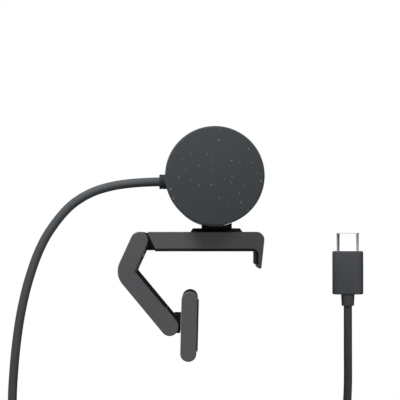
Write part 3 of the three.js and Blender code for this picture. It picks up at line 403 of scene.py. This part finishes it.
def lathe(profile, axis, origin, steps=FINE):
    """Turns [radius, height] corners, in millimetres, about an axis through origin."""
    frames = {
        "X": (Vector((1, 0, 0)), Vector((0, 1, 0)), Vector((0, 0, 1))),
        "Y": (Vector((0, 1, 0)), Vector((0, 0, 1)), Vector((1, 0, 0))),
        "Z": (Vector((0, 0, 1)), Vector((1, 0, 0)), Vector((0, 1, 0))),
    }
    along, across, up = frames[axis]
    vertices = []
    for i in range(steps):
        angle = 2 * math.pi * i / steps
        out = across * math.cos(angle) + up * math.sin(angle)
        vertices += [Vector(origin) + out * radius + along * height for radius, height in profile]
    return vertices, grid_faces(steps, len(profile))


def rounded(corners, radius, steps=5):
    """A closed outline whose corners are rounded; radius is one number or one for each corner."""
    radii = radius if isinstance(radius, list) else [radius] * len(corners)
    points = []
    for i, corner in enumerate(corners):
        here = Vector((*corner, 0.0))
        before = Vector((*corners[i - 1], 0.0)) - here
        after = Vector((*corners[(i + 1) % len(corners)], 0.0)) - here
        reach = min(radii[i], before.length / 2.01, after.length / 2.01)
        if reach <= 0.0:
            points.append(tuple(corner))
            continue
        start = here + before.normalized() * reach
        end = here + after.normalized() * reach
        for k in range(steps + 1):
            share = k / steps
            point = start.lerp(here, share).lerp(here.lerp(end, share), share)
            points.append((point.x, point.y))
    return points


def swept_arc(profile, start, end, axis_x, axis_z, steps=FINE):
    """A closed [radius, y] outline swept round an axis along Y, between two angles in degrees."""
    vertices = []
    for i in range(steps + 1):
        angle = math.radians(start + (end - start) * i / steps)
        vertices += [
            (axis_x + radius * math.cos(angle), y, axis_z + radius * math.sin(angle))
            for radius, y in profile
        ]
    faces = grid_faces(steps + 1, len(profile), close_rows=False)
    last = steps * len(profile)
    faces.append(tuple(range(len(profile))))
    faces.append(tuple(range(last, last + len(profile))))
    return vertices, faces


def smooth_line(points, steps=16):
    """A centripetal Catmull-Rom curve through the points."""
    points = [Vector(point) for point in points]
    ends = [2 * points[0] - points[1]] + points + [2 * points[-1] - points[-2]]
    line = []
    for a, b, c, d in zip(ends, ends[1:], ends[2:], ends[3:]):
        first = math.sqrt((b - a).length)
        second = first + math.sqrt((c - b).length)
        third = second + math.sqrt((d - c).length)
        for i in range(steps):
            t = first + (second - first) * i / steps
            near = a.lerp(b, t / first)
            middle = b.lerp(c, (t - first) / (second - first))
            far = c.lerp(d, (t - second) / (third - second))
            low = near.lerp(middle, t / second)
            high = middle.lerp(far, (t - first) / (third - first))
            line.append(low.lerp(high, (t - first) / (second - first)))
    line.append(points[-1])
    return line


def tube(line, radius, sides=28):
    """A round tube along a line, its ends closed flat."""
    neighbours = zip([line[0]] + line, line[1:] + [line[-1]])
    tangents = [(after - before).normalized() for before, after in neighbours]
    turns = [2 * math.pi * k / sides for k in range(sides)]
    across = tangents[0].orthogonal().normalized()
    rings = []
    for point, tangent in zip(line, tangents):
        across = (across - tangent * across.dot(tangent)).normalized()
        up = tangent.cross(across)
        rings.append([
            point + (across * math.cos(turn) + up * math.sin(turn)) * radius
            for turn in turns
        ])
    vertices = [corner for ring in rings for corner in ring]
    faces = grid_faces(len(rings), sides, close_rows=False)
    faces.append(tuple(range(sides)))
    faces.append(tuple(range(len(vertices) - sides, len(vertices))))
    return vertices, faces


# ---- Cord: from the strain relief down, wound into a coil, and up to the plug ----

CORD_DIAMETER = 3.1
COIL_RADIUS = 17.3
COIL_PITCH = 1.02 * CORD_DIAMETER
COLUMN_PITCH = COIL_PITCH * math.sqrt(3) / 2
COIL_MIDDLE = (-12.0, -138.0)
COIL_TURNS = 10.5
STEP_OVER_START = 0.63
STEP_OVER_SHARE = 0.24
TURN_STEPS = 20
CORD_EXIT = (-18.7, 0.0, 23.88)
CORD_LEAD = [
    CORD_EXIT, (-23, 0, 23.78), (-30, 0, 23.3), (-36.8, 0, 22.2), (-43.7, 0, 19.9), (-50.6, 0, 15.4),
    (-57.4, 0, 7.2), (-61.2, 0, 0.2), (-64.8, 0, -10), (-67.3, 0, -20.4), (-68.9, 0, -30.8),
    (-69.9, 0, -41.2), (-70.4, 0, -52), (-69.6, -0.4, -64), (-66, -1.2, -77), (-59.5, -2.2, -88.5),
    (-51.5, -3, -98), (-43.6, -3.6, -108.5), (-37.6, -3.9, -118), (-34.7, -4, -124.6),
    (-33.3, -4.1, -131.5),
]
CORD_TAIL = [
    (10.6, 4.12, -131.5), (11.2, 4.2, -124.6), (13.8, 6.6, -117.5), (19.5, 12.5, -106),
    (27.5, 20.5, -95.5), (37.8, 31.8, -85.5), (44.6, 39.6, -74), (48, 43.8, -62), (48.9, 44.9, -52),
    (49, 45, -36), (49, 45, -19.7),
]


def coil_seats():
    """Where each turn lies, as (radius, y): close-packed columns of three and two."""
    seats = []
    for column in range(4):
        if column % 2 == 0:
            rows = [COIL_RADIUS + COIL_PITCH, COIL_RADIUS, COIL_RADIUS - COIL_PITCH]
        else:
            rows = [COIL_RADIUS - COIL_PITCH / 2, COIL_RADIUS + COIL_PITCH / 2]
        seats += [(radius, COLUMN_PITCH * (column - 1.5)) for radius in rows]
    seats.append((COIL_RADIUS + 1.5 * COIL_PITCH, COLUMN_PITCH * 1.5))
    return seats


def coil_line():
    """The wound turns; each steps over to the next seat near the top, under the tie."""
    seats = coil_seats()
    line = []
    for i in range(int(COIL_TURNS * TURN_STEPS) + 1):
        turn, step = divmod(i, TURN_STEPS)
        radius, y = seats[min(turn, len(seats) - 1)]
        next_radius, next_y = seats[min(turn + 1, len(seats) - 1)]
        share = min(1.0, max(0.0, (step / TURN_STEPS - STEP_OVER_START) / STEP_OVER_SHARE))
        share = share * share * (3 - 2 * share)
        radius += (next_radius - radius) * share
        y += (next_y - y) * share
        angle = math.pi + 2 * math.pi * i / TURN_STEPS
        line.append((
            COIL_MIDDLE[0] + radius * math.cos(angle), y, COIL_MIDDLE[1] + radius * math.sin(angle),
        ))
    return line


def make_cord():
    line = smooth_line(CORD_LEAD + coil_line() + CORD_TAIL, 8)
    replaced = ("cord_lead", "cord_coil", "cord_tail")
    cord = make_piece("cord", *tube(line, CORD_DIAMETER / 2), "cord_sheath", None, replaced)
    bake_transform(cord)
    return cord, [point * MM for point in line]


cord, cord_path = make_cord()


# ---- Camera barrel ----

BARREL_X, BARREL_Z = -0.92, 24.28
BARREL_RADIUS = 15.75
BARREL_INNER = 14.15
BARREL_NEAR = -55.0
CAP_BACK = BARREL_NEAR + 1.8
HOUSING_NEAR = CAP_BACK + 0.1
KNOB_NEAR = 44.0
HOUSING_FAR = KNOB_NEAR - 0.3
SPLIT_X = 6.0
HALF_PART_LINE = 0.15
CAP_SAG = 0.35
CAP_FACE_RADIUS = 15.15
KNOB_FAR = 53.15
FLUTES = 96
FLUTE_DEPTH = 0.22
WINDOW_LENGTH = 46.0
WINDOW_HEIGHT = 15.0
WINDOW_ARC = 32.0
LIGHT_Y = -12.0
MICROPHONE_Y = 20.0
MICROPHONE_ANGLE = 40.0
RELIEF_DROP = 0.4
BARREL_AXIS = (BARREL_X, 0.0, BARREL_Z)


def swept_housing(name, start, end, replaced):
    """Part of the barrel's wall, with softly rounded edges, between two angles."""
    wall = rounded([
        (BARREL_INNER, HOUSING_NEAR), (BARREL_RADIUS, HOUSING_NEAR),
        (BARREL_RADIUS, HOUSING_FAR), (BARREL_INNER, HOUSING_FAR),
    ], 0.22, 4)
    shape = swept_arc(wall, start, end, BARREL_X, BARREL_Z)
    return make_piece(name, *shape, "shell_plastic", "camera", replaced)


def cut_with(piece, vertices, faces):
    """Cuts a closed shape, in millimetres, out of a piece."""
    mesh = bpy.data.meshes.new("cutter")
    mesh.from_pydata([Vector(corner) * MM for corner in vertices], [], faces)
    shape = bmesh.new()
    shape.from_mesh(mesh)
    bmesh.ops.recalc_face_normals(shape, faces=shape.faces)
    shape.to_mesh(mesh)
    shape.free()
    cutter = bpy.data.objects.new("cutter", mesh)
    scene.collection.objects.link(cutter)
    boolean = piece.modifiers.new("cut", "BOOLEAN")
    boolean.object = cutter
    boolean.operation = "DIFFERENCE"
    boolean.solver = "EXACT"
    bpy.context.view_layer.update()
    evaluated = piece.evaluated_get(bpy.context.evaluated_depsgraph_get())
    result = bpy.data.meshes.new_from_object(evaluated)
    piece.modifiers.remove(boolean)
    old = piece.data
    piece.data = result
    bpy.data.meshes.remove(old)
    bpy.data.objects.remove(cutter)
    result.shade_smooth()
    result.set_sharp_from_angle(angle=math.radians(32))


def prism_along_x(outline, start, end):
    """An outline of (y, z) corners about the barrel's axis, pulled along X."""
    vertices = [(BARREL_X + x, y, BARREL_Z + z) for x in (start, end) for y, z in outline]
    count = len(outline)
    faces = grid_faces(2, count, close_rows=False)
    faces += [tuple(range(count)), tuple(range(count, 2 * count))]
    return vertices, faces


def circle(radius, y=0.0, z=0.0, steps=64):
    angles = [2 * math.pi * k / steps for k in range(steps)]
    return [(y + radius * math.cos(a), z + radius * math.sin(a)) for a in angles]


def pill(length, height, steps=32):
    reach = (length - height) / 2
    points = []
    for side, turn in ((1, -math.pi / 2), (-1, math.pi / 2)):
        for k in range(steps + 1):
            angle = turn + math.pi * k / steps
            points.append((side * reach + height / 2 * math.cos(angle), height / 2 * math.sin(angle)))
    return points


def make_housings():
    rear_split = math.degrees(math.acos((SPLIT_X - HALF_PART_LINE) / BARREL_RADIUS))
    front_split = math.degrees(math.acos((SPLIT_X + HALF_PART_LINE) / BARREL_RADIUS))
    rear = swept_housing("rear_shell", rear_split, 360 - rear_split, ("rear_housing",))
    cut_with(rear, *prism_along_x(circle(2.6, 0, -RELIEF_DROP), -20, -10))
    front = swept_housing("front_shell", -front_split, front_split, ("front_housing",))
    cut_with(front, *prism_along_x(pill(WINDOW_LENGTH + 0.2, WINDOW_HEIGHT + 0.2), 2, 20))
    down = math.radians(MICROPHONE_ANGLE)
    for y in (-MICROPHONE_Y, MICROPHONE_Y):
        hole = [
            (BARREL_X + math.cos(down) * x + math.sin(down) * z, hole_y,
             BARREL_Z - math.sin(down) * x + math.cos(down) * z)
            for x in (12.0, 20.0) for hole_y, z in circle(0.5, y, 0, 24)
        ]
        faces = grid_faces(2, 24, close_rows=False) + [tuple(range(24)), tuple(range(24, 48))]
        cut_with(front, hole, faces)


def make_caps():
    """The two end discs; each has a softly rounded rim and the faintest dome."""
    near = [
        (0, BARREL_NEAR), (BARREL_RADIUS, BARREL_NEAR + CAP_SAG), (BARREL_RADIUS, CAP_BACK), (0, CAP_BACK),
    ]
    near = rounded(near, [0.0, 0.6, 0.2, 0.0], 10)
    dome = [(CAP_FACE_RADIUS * k / 10, BARREL_NEAR + CAP_SAG * (k / 10) ** 2) for k in range(1, 10)]
    near = near[:1] + dome + near[1:]
    make_piece("near_end", *lathe(near, "Y", BARREL_AXIS), "speckled_plastic", "camera", ("end_cap",), 50)
    far = [(radius, -y) for radius, y in near]
    make_piece("far_end", *lathe(far, "Y", BARREL_AXIS), "speckled_plastic", "shutter", ("knob_cap",), 50)


def make_knob():
    """The shutter knob, ringed with fine flutes for the fingers."""
    steps = 6 * FLUTES
    near, far = KNOB_NEAR, KNOB_FAR
    outline = rounded([
        (2.1, near), (BARREL_RADIUS, near), (BARREL_RADIUS, far), (13.15, far), (13.15, near + 1.5),
        (4.4, near + 1.5), (4.4, near + 6.2), (2.1, near + 6.2),
    ], [0.1, 0.3, 0.2, 0.1, 0.1, 0.1, 0.1, 0.1], 4)
    fluted = [near + 1.2 + (far - near - 2.4) * k / 12 for k in range(13)]
    first = next(i for i, (radius, y) in enumerate(outline) if radius > 15.7 and y > near + 0.2)
    outline = outline[:first] + [(BARREL_RADIUS, y) for y in fluted] + outline[first:]
    vertices = []
    for i in range(steps):
        angle = 2 * math.pi * i / steps
        for radius, y in outline:
            ends = min(y - (near + 1.2), (far - 1.2) - y)
            depth = FLUTE_DEPTH * min(1.0, max(0.0, ends / 0.5)) if radius > 15.7 else 0.0
            turned = radius - depth * (0.5 - 0.5 * math.cos(FLUTES * angle))
            x = BARREL_X + turned * math.sin(angle)
            vertices.append((x, y, BARREL_Z + turned * math.cos(angle)))
    faces = grid_faces(steps, len(outline))
    make_piece("knob", vertices, faces, "shell_plastic", "shutter", ("shutter_knob",), 40)


def make_window():
    """The glossy panel round the lens, with a hole for the cover and one for the light."""
    panel = rounded([(14.45, -24), (15.65, -24), (15.65, 24), (14.45, 24)], 0.05, 1)
    shape = swept_arc(panel, -WINDOW_ARC, WINDOW_ARC, BARREL_X, BARREL_Z)
    band = make_piece("front_panel", *shape, "gloss_black", "camera", ("front_window",))
    window = pill(WINDOW_LENGTH, WINDOW_HEIGHT)
    outside = [(y * 2.2, z * 3) for y, z in window]
    ring = prism_along_x(outside, 5, 25)
    inner = prism_along_x(window, 5, 25)
    count = len(outside)
    vertices = ring[0] + inner[0]
    faces = grid_faces(2, count, close_rows=False)
    faces += [tuple(2 * count + i for i in face) for face in grid_faces(2, count, close_rows=False)]
    for k in range(count):
        after = (k + 1) % count
        faces.append((k, after, 2 * count + after, 2 * count + k))
        faces.append((count + k, count + after, 3 * count + after, 3 * count + k))
    cut_with(band, vertices, faces)
    cut_with(band, *prism_along_x(circle(5.1), 5, 25))
    cut_with(band, *prism_along_x(circle(0.9, LIGHT_Y), 5, 25))


def make_lens():
    cover = rounded([(0, 13.75), (5, 13.75), (5, 14.55), (0, 14.55)], [0, 0.08, 0.15, 0], 4)
    make_piece("cover_glass", *lathe(cover, "X", BARREL_AXIS), "glass", "camera", ("lens_cover",))
    dome = [(3.1 * k / 12, 11.2 + 0.9 * (1 - (k / 12) ** 2)) for k in range(13)]
    lens = [(0, 10.5), (3.1, 10.5)] + dome[::-1]
    make_piece("lens_glass", *lathe(lens, "X", BARREL_AXIS, 96), "glass", "camera", ("front_lens",))
    tube_outline = [(0, 3.45), (5.6, 3.45), (5.6, 7)]
    for k in range(5):
        rise = 0.7 * k
        tube_outline += [(4.4, 7.5 + rise), (4.25, 7.6 + rise), (4.25, 7.8 + rise), (4.4, 7.9 + rise)]
    tube_outline += [(4.4, 11.35), (4.2, 11.6), (3.5, 11.6), (3.2, 11.3), (3.2, 10.4), (0, 10.4)]
    shape = lathe(tube_outline, "X", BARREL_AXIS, 96)
    make_piece("lens_tube", *shape, "black_plastic", "camera", ("lens_barrel",))
    light = rounded([(0, 11.6), (0.8, 11.6), (0.8, 15.55), (0, 15.55)], [0, 0.05, 0.2, 0], 4)
    place = (BARREL_X, LIGHT_Y, BARREL_Z)
    make_piece("light_dot", *lathe(light, "X", place, 32), "light_pipe", "camera", ("status_light",))


def make_relief():
    """The collar that the cord leaves by."""
    outline = rounded([
        (0, -18.8), (2.525, -18.8), (2.525, -13.35), (3.6, -13.35), (3.6, -12), (0, -12),
    ], [0, 0.22, 0, 0.1, 0.1, 0], 5)
    groove = [(2.525, -17.9), (2.42, -17.8), (2.42, -17.55), (2.525, -17.45)]
    outline = outline[:7] + groove + outline[7:]
    shape = lathe(outline, "X", (BARREL_X, 0.0, BARREL_Z - RELIEF_DROP), 96)
    collar = make_piece("cord_collar", *shape, "cord_sheath", "camera", ("strain_relief",))
    collar.data.materials[0] = COLLAR_PLASTIC


make_housings()
make_caps()
make_knob()
make_window()
make_lens()
make_relief()


# ---- Clip, arm, foot and swivel ----

CLIP_SIDE = 16.0
CLIP_TOP = 6.6
LIP_INNER = 13.94
LIP_OUTER = 16.06
UPPER_LEAN = 24.5
LOWER_LEAN = 39.75
ARM_HINGE = Vector((-26.1, 3.6))
ARM_CORNER = Vector((-31.0473, -7.2558))
FOOT_HINGE = Vector((-15.8798, -25.4928))
ARM_HALF = 3.0
SOFT_EDGE = 0.35
LUG_SIDE = 9.2
HEAD_SLOT_RADIUS = 4.7
FOOT_SLOT_RADIUS = 5.8
INLAY_SIDE = 15.3
BEND_RADIUS = 3.8
EAR_INNER = 9.95
FOOT_TILT = math.radians(1.4)


def arc(centre, radius, start, end, steps=16):
    """Points along an arc between two angles in degrees."""
    points = []
    for k in range(steps + 1):
        angle = math.radians(start + (end - start) * k / steps)
        points.append((centre[0] + radius * math.cos(angle), centre[1] + radius * math.sin(angle)))
    return points


def tidied(outline):
    """The outline without repeated points."""
    kept = []
    for point in outline:
        if not kept or math.dist(point, kept[-1]) > 1e-4:
            kept.append(point)
    return kept[:-1] if math.dist(kept[0], kept[-1]) < 1e-4 else kept


def inset(outline, depth):
    """The outline moved inwards, to its left when it runs anticlockwise."""
    area = sum(a[0] * b[1] - b[0] * a[1] for a, b in zip(outline, outline[1:] + outline[:1]))
    side = 1.0 if area > 0 else -1.0
    moved = []
    for i, (x, y) in enumerate(outline):
        before = (Vector((x, y)) - Vector(outline[i - 1])).normalized()
        after = (Vector(outline[(i + 1) % len(outline)]) - Vector((x, y))).normalized()
        left = Vector((-before.y - after.y, before.x + after.x)) * side
        corner = left.normalized() / max(0.35, left.length / 2)
        moved.append((x + corner.x * depth, y + corner.y * depth))
    return moved


def soft_prism(outline, start, end, edge, steps=5, frame_origin=None, turn=0.0):
    """An (x, z) outline pulled along Y, with rounded edges at both ends.
    With frame_origin, the outline is about that hinge, turned by turn."""
    outline = tidied(outline)
    layers = []
    for k in range(steps + 1):
        angle = math.pi / 2 * k / steps
        shape = inset(outline, edge * (1 - math.sin(angle)))
        layers.append((shape, start + edge * (1 - math.cos(angle))))
    layers += [(shape, start + end - y) for shape, y in layers[::-1]]
    vertices = [(x, y, z) for shape, y in layers for x, z in shape]
    if frame_origin is not None:
        vertices = [hinged(corner, frame_origin, turn) for corner in vertices]
    count = len(outline)
    faces = grid_faces(len(layers), count, close_rows=False)
    faces += [tuple(range(count)), tuple(range(len(vertices) - count, len(vertices)))]
    return vertices, faces


def hinged(corner, origin, turn):
    """A corner given about a hinge along Y, turned about it and moved to its place."""
    x, y, z = corner
    return (
        origin.x + x * math.cos(turn) + z * math.sin(turn),
        y,
        origin.y - x * math.sin(turn) + z * math.cos(turn),
    )


def make_bar():
    tip = (LIP_OUTER - 2.12 + 0.58, -5.27)
    outline = [(-20.8, 0.8)] + arc((LIP_INNER - 2, -1.2), 2, 90, 0) + arc(tip, 0.58, 180, 360)
    outline += arc((LIP_OUTER - 2.7, CLIP_TOP - 2.7), 2.7, 0, 90, 20)
    outline += arc((-22.96, CLIP_TOP - 0.4), 0.4, 90, 204, 6)
    shape = soft_prism(outline, -CLIP_SIDE, CLIP_SIDE, SOFT_EDGE)
    bar = make_piece("top_bar", *shape, "arm_plastic", "clip", ("clip_bar",))
    corners = ((-26, 2.0), (-13.1, 2.0), (-13.1, 5.2), (-26, 5.2))
    pocket = [(x, y, z) for y in (-LUG_SIDE - 0.1, LUG_SIDE + 0.1) for x, z in corners]
    cut_with(bar, pocket, grid_faces(2, 4, close_rows=False) + [(0, 1, 2, 3), (4, 5, 6, 7)])
    pad = [(-20.8, 0.0), (LIP_INNER - 0.8, 0.0), (LIP_INNER - 0.8, -4.5), (LIP_INNER - 0.05, -4.5)]
    pad += arc((LIP_INNER - 2, -1.2), 1.95, 0, 90) + [(-20.8, 0.75)]
    shape = soft_prism(pad, -CLIP_SIDE, CLIP_SIDE, 0.12, 3)
    make_piece("bar_pad", *shape, "rubber", "clip", ("clip_pad",))
    # The hinge bracket sits recessed in the bar. Its black is partly its own colour and partly painted
    # shade for the shadow in that recess.
    eye = arc(ARM_HINGE, 2.5, 90, 270, 40) + [(-26.1, 0.3), (-20.86, 0.3), (-20.86, 0.8), (-21.44, 2.1)]
    eye += [(-13.4, 2.1), (-13.4, 5.1), (-22.79, 5.1), (-23.33, 6.3)]
    shape = soft_prism(eye, -LUG_SIDE, LUG_SIDE, 0.2, 3)
    make_piece("bracket", *shape, "black_plastic", "clip", ("hinge_bracket",))


UPPER_WAY = (ARM_CORNER - ARM_HINGE).normalized()
LOWER_WAY = (FOOT_HINGE - ARM_CORNER).normalized()
BEND_START = 180.0 - UPPER_LEAN
BEND_END = BEND_START + UPPER_LEAN + LOWER_LEAN
BEND_REACH = BEND_RADIUS / math.cos(math.radians((UPPER_LEAN + LOWER_LEAN) / 2))
BEND_CENTRE = ARM_CORNER + (LOWER_WAY - UPPER_WAY).normalized() * BEND_REACH


def arm_strip(shallow, deep, head_back, tail_back):
    """A strip along the arm's inner side, between two depths below that side."""
    near, far = shallow - ARM_HALF, deep - ARM_HALF
    head = ARM_HINGE + UPPER_WAY * head_back
    tail = FOOT_HINGE - LOWER_WAY * tail_back
    head_side = Vector(arc((0, 0), 1, BEND_START, BEND_START, 1)[0])
    tail_side = Vector(arc((0, 0), 1, BEND_END, BEND_END, 1)[0])
    outline = [tuple(tail + tail_side * far), tuple(tail + tail_side * near)]
    outline += arc(BEND_CENTRE, BEND_RADIUS + near, BEND_END, BEND_START)
    outline += [tuple(head + head_side * near), tuple(head + head_side * far)]
    return outline + arc(BEND_CENTRE, BEND_RADIUS + far, BEND_START, BEND_END)


def make_arm():
    outline = arc(FOOT_HINGE, ARM_HALF, BEND_END, BEND_END + 180, 32)
    outline += arc(BEND_CENTRE, BEND_RADIUS - ARM_HALF, BEND_END, BEND_START, 12)
    outline += arc(ARM_HINGE, ARM_HALF, BEND_START + 180, BEND_START + 360, 32)
    outline += arc(BEND_CENTRE, BEND_RADIUS + ARM_HALF, BEND_START, BEND_END, 24)
    shape = soft_prism(outline, -CLIP_SIDE, CLIP_SIDE, SOFT_EDGE)
    arm = make_piece("folding_arm", *shape, "arm_plastic", "arm", ("clip_arm",))
    for hinge, radius in ((ARM_HINGE, HEAD_SLOT_RADIUS), (FOOT_HINGE, FOOT_SLOT_RADIUS)):
        cut_with(arm, *soft_prism(arc(hinge, radius, 0, 360, 48), -EAR_INNER, EAR_INNER, 0.1, 2))
    groove = arm_strip(-1, 0.7, HEAD_SLOT_RADIUS, FOOT_SLOT_RADIUS)
    cut_with(arm, *soft_prism(groove, -INLAY_SIDE - 0.1, INLAY_SIDE + 0.1, 0.01, 1))
    # A black strip laid in the groove along the arm's inner side. Its black is partly its own colour and
    # partly painted shade for the shadow on that side.
    strip = arm_strip(0.05, 0.6, HEAD_SLOT_RADIUS + 0.9, FOOT_SLOT_RADIUS + 0.9)
    inlay = soft_prism(strip, -INLAY_SIDE, INLAY_SIDE, 0.12, 3)
    make_piece("arm_strip", *inlay, "black_plastic", "arm", ("arm_inlay",))


def make_foot():
    outline = arc((6.5, 9.325), 2.725, 0, 180, 32) + arc((6.5, -8.825), 2.725, 180, 360, 32)
    place = {"frame_origin": FOOT_HINGE, "turn": FOOT_TILT}
    shape = soft_prism(outline, -CLIP_SIDE, CLIP_SIDE, 0.45, **place)
    foot = make_piece("foot_bar", *shape, "arm_plastic", "foot", ("foot_block",))
    room = [(8.3, -8.2), (11, -8.2), (11, 8.7), (8.3, 8.7)]
    cut_with(foot, *soft_prism(room, -15.05, 15.05, 0.01, 1, **place))
    layers = []
    for width, x in ((0.0, 8.63), (0.0, 9.45), (0.1, 9.58), (0.25, 9.625)):
        layers.append((stadium(29.8 - 2 * width, 16.7 - 2 * width, 1 - width / 2), x))
    vertices, faces = stacked(layers, (0, 0))
    vertices = [hinged((z, x, y + 0.25), FOOT_HINGE, FOOT_TILT) for x, y, z in vertices]
    make_piece("foot_face", vertices, faces, "rubber", "foot", ("foot_pad",))
    seat = 3.475
    lug = arc((0, 0), 2.4, 113, 285, 28) + [(seat, -2.3), (seat, 4.1), (0.4 * seat, 4.1)]
    shape = soft_prism(lug, -LUG_SIDE, LUG_SIDE, 0.2, 3, **place)
    make_piece("hinge_lug", *shape, "black_plastic", "foot", ("foot_lug",))


def make_swivel():
    outline = rounded([
        (2.0, 6.59), (9.0, 6.59), (8.15, 7.84), (2.0, 7.84),
    ], [0, 0.06, 0.25, 0], 5)
    shape = lathe(outline, "Z", (0, 0, 0), 128)
    make_piece("swivel_plate", *shape, "black_plastic", "swivel", ("swivel_disc",))
    layers = [(stadium(10.3, 26, 2, 12), 7.84), (stadium(10.3, 26, 2, 12), 10.33)]
    saddle = make_piece("cradle", *stacked(layers, (0, 0)), "black_plastic", "swivel", ("saddle",))
    barrel = [(0, -40), (15.85, -40), (15.85, 40), (0, 40)]
    cut_with(saddle, *lathe(barrel, "Y", BARREL_AXIS))


def soften_nodes():
    """Rounds the shown CAD nodes' edges and smooths their shading; their corners stay put."""
    for thing in nodes.values():
        if thing.hide_render:
            continue
        thing.data.shade_smooth()
        thing.data.set_sharp_from_angle(angle=math.radians(34))
        bevel = thing.modifiers.new("bevel", "BEVEL")
        bevel.width = 0.05 * MM
        bevel.segments = 2
        bevel.limit_method = "ANGLE"
        bevel.angle_limit = math.radians(40)


# ---- Plug and tie ----

PLUG_PLACE = (49.0, 45.0)
GRIP_BOTTOM = -16.5
GRIP_TOP = -0.5
GRIP_WIDTH = 11.4
GRIP_DEPTH = 6.0
GRIP_CORNER = 2.4
GRIP_SOFT = 0.6


def stadium(width, depth, radius, steps=10):
    """A rounded rectangle's corners, listed anticlockwise from the right side."""
    points = []
    for side_x, side_y, turn in ((1, 1, 0), (-1, 1, 90), (-1, -1, 180), (1, -1, 270)):
        for k in range(steps + 1):
            angle = math.radians(turn + 90 * k / steps)
            points.append((
                side_x * (width / 2 - radius) + radius * math.cos(angle),
                side_y * (depth / 2 - radius) + radius * math.sin(angle),
            ))
    return points


def stacked(layers, place):
    """Outlines of (x, y) at rising heights, joined and closed, moved to place."""
    vertices = [(place[0] + x, place[1] + y, z) for outline, z in layers for x, y in outline]
    count = len(layers[0][0])
    faces = grid_faces(len(layers), count, close_rows=False)
    faces += [tuple(range(count)), tuple(range(len(vertices) - count, len(vertices)))]
    return vertices, faces


def make_plug():
    pieces = []
    layers = []
    for k in range(9):
        angle = math.radians(90 * k / 8)
        step_in = GRIP_SOFT * (1 - math.sin(angle))
        outline = stadium(GRIP_WIDTH - 2 * step_in, GRIP_DEPTH - 2 * step_in, GRIP_CORNER - step_in)
        layers.append((outline, GRIP_BOTTOM + GRIP_SOFT * (1 - math.cos(angle))))
    layers += [(outline, GRIP_BOTTOM + GRIP_TOP - z) for outline, z in layers[::-1]]
    pieces.append(make_piece(
        "plug_body", *stacked(layers, PLUG_PLACE), "cord_sheath", "swivel", ("plug_grip",), 50,
    ))
    shell = []
    for width, depth, radius, z in (
        (8.25, 2.4, 1.19, -0.45), (8.25, 2.4, 1.19, 6.08), (8.05, 2.2, 1.09, 6.2),
        (7.75, 1.9, 0.94, 6.2), (7.65, 1.8, 0.89, 6.1), (7.65, 1.8, 0.89, 1.05),
    ):
        shell.append((stadium(width, depth, radius, 16), z))
    pieces.append(make_piece(
        "plug_tube", *stacked(shell, PLUG_PLACE), "plug_steel", "swivel", ("plug_shell",), 40,
    ))
    outline = rounded([(0, -20.75), (2.3, -20.75), (2.5, -16.55), (0, -16.55)], [0, 0.35, 0.1, 0], 6)
    place = (*PLUG_PLACE, 0.0)
    pieces.append(make_piece(
        "plug_collar", *lathe(outline, "Z", place, 96), "cord_sheath", "swivel", ("plug_relief",),
    ))
    return pieces


def box_of(node):
    """A node's lowest and highest Z and Y, in millimetres."""
    low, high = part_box(node)
    return low.z / MM, high.z / MM, low.y / MM, high.y / MM


def make_tie():
    """A rubber band round the bundle at the coil's top."""
    low_z, high_z, low, high = box_of("coil_tie")
    middle = (low_z + high_z) / 2
    outer_width, outer_height = high - low, high_z - low_z
    profile = (
        (0.0, -4.3), (0.0, 4.3), (0.2, 4.5), (0.7, 4.5), (0.9, 4.3), (0.9, -4.3), (0.7, -4.5), (0.2, -4.5),
    )
    rings = []
    for step_in, x in profile:
        outline = stadium(outer_width - 2 * step_in, outer_height - 2 * step_in, 3 - step_in)
        rings.append([(COIL_MIDDLE[0] + x, y, middle + z) for y, z in outline])
    vertices = [corner for ring in rings for corner in ring]
    faces = grid_faces(len(rings), len(rings[0]))
    return make_piece("tie_band", vertices, faces, "rubber", "swivel", ("coil_tie",))


make_bar()
make_arm()
make_foot()
make_swivel()
plug_pieces = make_plug()
tie = make_tie()
soften_nodes()


# ---- Floor ----

def make_floor():
    mesh = bpy.data.meshes.new("floor")
    rim = [(x, y, 0.0) for x, y in circle(FLOOR_RADIUS)]
    mesh.from_pydata(rim, [], [tuple(range(len(rim)))])
    floor = bpy.data.objects.new("floor", mesh)
    scene.collection.objects.link(floor)
    floor.location = millimetres(0, 0, FLOOR_HEIGHT)
    made = Nodes("floor_paper")
    made.set(Roughness=0.9)
    fine = made.noise(0.5)
    made.colour(made.mix(fine, (0.86, 0.86, 0.86), (0.9, 0.9, 0.9)))
    mesh.materials.append(made.material)


make_floor()
